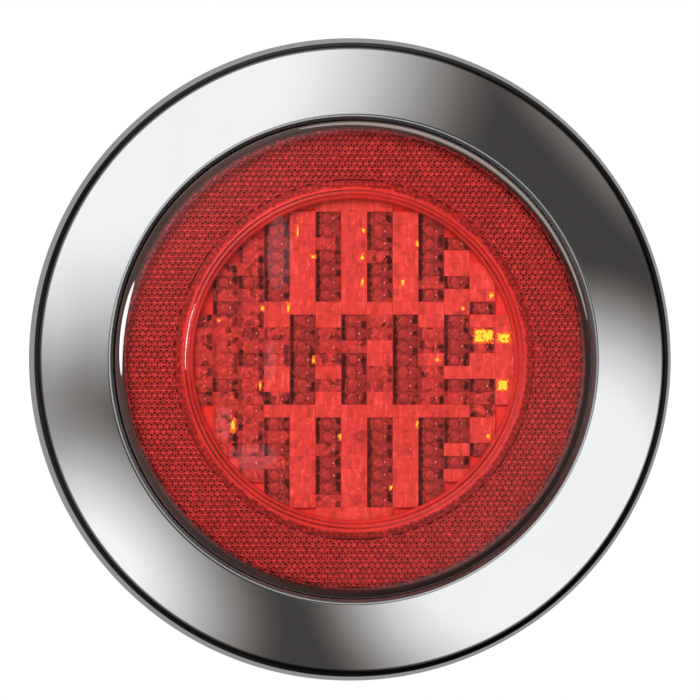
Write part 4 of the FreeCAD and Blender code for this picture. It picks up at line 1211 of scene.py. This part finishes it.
def world():
    """A dark room with soft boxes before the lamp and a pale wall behind it, all as a procedural sky."""
    n = Nodes("studio", "World")
    bpy.context.scene.world = n.owner
    direction = n.add("TexCoord").outputs["Generated"]

    def fade(around, off, full, gone, level):
        """level within `full` degrees of a direction, fading to nothing by `gone` degrees."""
        dot = n.add("VectorMath", direction, towards(around, off), operation="DOT_PRODUCT").outputs["Value"]
        angle = n.math("ARCCOSINE", n.math("MINIMUM", dot, 0.99999))
        ramp = n.add("MapRange", angle, math.radians(full), math.radians(gone), level, 0.0)
        ramp.interpolation_type = "SMOOTHSTEP"
        return ramp.outputs["Result"]

    def fades(total, boxes):
        """A number with the light of several boxes added."""
        for box in boxes:
            total = n.math("ADD", total, fade(*box))
        return total

    front = n.math("MULTIPLY", n.math("MINIMUM", fades(ROOM, SOFT_BOXES), BRIGHTEST), fade(0, 0, *FRONT_EDGE, 1.0))
    lit = n.math("ADD", n.math("ADD", front, SHADE), fade(0, 180, *BEHIND))
    beside = n.math("SUBTRACT", 1.0, fade(0, 0, *SIDES_START, 1.0))
    lit = n.math("ADD", lit, n.math("MULTIPLY", fades(0.0, SIDES), beside))
    warmth = n.ramp(lit, [(0.0, (1.0, 0.92, 0.86)), (0.6, (1.0, 1.0, 1.0))])
    studio = n.add("Background", Color=warmth, Strength=lit).outputs["Background"]
    paper = n.add("Background", Color=WHITE_LIGHT, Strength=1.0).outputs["Background"]
    n.finish(n.mix(n.light_path("Is Camera Ray"), studio, paper))


def area(name, place, target, along, size, power, colour=(1.0, 1.0, 1.0), only=None, spared=None):
    """A soft oval lamp that looks at a point, its height along a given way.

    One for a single piece lights that alone and shows in it. Any other lights all but the piece it spares.
    """
    data = bpy.data.lights.new(name, "AREA")
    data.shape = "ELLIPSE"
    data.size, data.size_y = size
    data.energy = power
    data.color = colour
    piece = bpy.data.objects.new(name, data)
    bpy.context.scene.collection.objects.link(piece)
    away = (place - target).normalized()
    across = along.cross(away).normalized()
    up = away.cross(across)
    piece.location = place
    piece.rotation_euler = Matrix((across, up, away)).transposed().to_euler()
    piece.visible_camera = False
    piece.visible_glossy = only is not None
    if only or spared:
        group = bpy.data.collections.new(name + ("_receivers" if only else "_spared"))
        group.objects.link(only or spared)
        if spared:
            group.collection_objects[0].light_linking.link_state = "EXCLUDE"
        piece.light_linking.receiver_collection = group


def oval_power(size, radiance):
    """The power that gives an oval lamp of a width and height its radiance."""
    return radiance * math.pi * size[0] * size[1] * math.pi / 4


def window_light(name, piece, around, off, size, radiance, colour):
    """A soft box that shows on the lens's rounded edge. Its height runs round the lamp."""
    turn = math.radians(around)
    tangent = Vector((-math.sin(turn), 0, math.cos(turn)))
    place = towards(around, off) * LAMP_DISTANCE
    area(name, place, Vector(), tangent, size, oval_power(size, radiance), colour, piece)


def sheen(name, piece, x, up, width, height):
    """A faint cool reflection on the lens's face, centred on a place given in mm, width by height."""
    radius = math.hypot(x, up) * MM
    point = Vector((x * MM, -dome(radius), up * MM))
    normal = (point - Vector((0, LENS_SPHERE - LENS_APEX, 0))).normalized()
    ray = (point - bpy.context.scene.camera.location).normalized()
    away = ray - 2 * ray.dot(normal) * normal
    size = (width * SHEEN_SPREAD * MM, height * SHEEN_SPREAD * MM)
    power = oval_power(size, SHEEN_RADIANCE)
    area(name, point + away * SHEEN_DISTANCE, point, Vector((0, 0, 1)), size, power, SHEEN_COLOUR, piece)


def floor():
    """A plain pale floor well below the lamp. For the camera it fades into the white room with distance."""
    n = Nodes("floor_paper")
    shader = n.surface(n.ramp(n.noise(3.0), [(0.3, (0.80, 0.80, 0.80)), (0.7, (0.84, 0.84, 0.84))]), Roughness=0.9)
    away = n.add("VectorMath", n.place(), operation="LENGTH").outputs["Value"]
    fade = n.math("MULTIPLY", n.span(away, 0.0, 1.0, *FLOOR_FADE), n.light_path("Is Camera Ray"))
    white = n.add("Emission", Color=WHITE_LIGHT).outputs["Emission"]
    paper = n.finish(n.mix(fade, shader, white))
    corners = ((-1, -1), (1, -1), (1, 1), (-1, 1))
    verts = [(FLOOR_HALF * x, FLOOR_HALF * y, -FLOOR_DROP) for x, y in corners]
    piece = make_object("floor", verts, [[0, 1, 2, 3]], [paper])
    piece.visible_glossy = False
    return piece


camera()
bpy.context.scene.view_settings.view_transform = "Standard"
world()
floor_piece = floor()
dress_kept_nodes()
trim_ring()
lens_piece = lens()
painted_rings()
reflex_ring()
optic_plate()
mounting_screws()
for name, around, off, side, power in LAMPS:
    spared = floor_piece if off > 90 else None
    place = towards(around, off) * LAMP_DISTANCE
    area(name, place, Vector(), Vector((0, 0, 1)), (side, side), power, spared=spared)
for name, around, off, size, radiance, colour in WINDOWS:
    window_light(name, lens_piece, around, off, size, radiance, colour)
for k, (x, up, width, height) in enumerate(SHEENS):
    sheen(f"sheen_{k}", lens_piece, x, up, width, height)
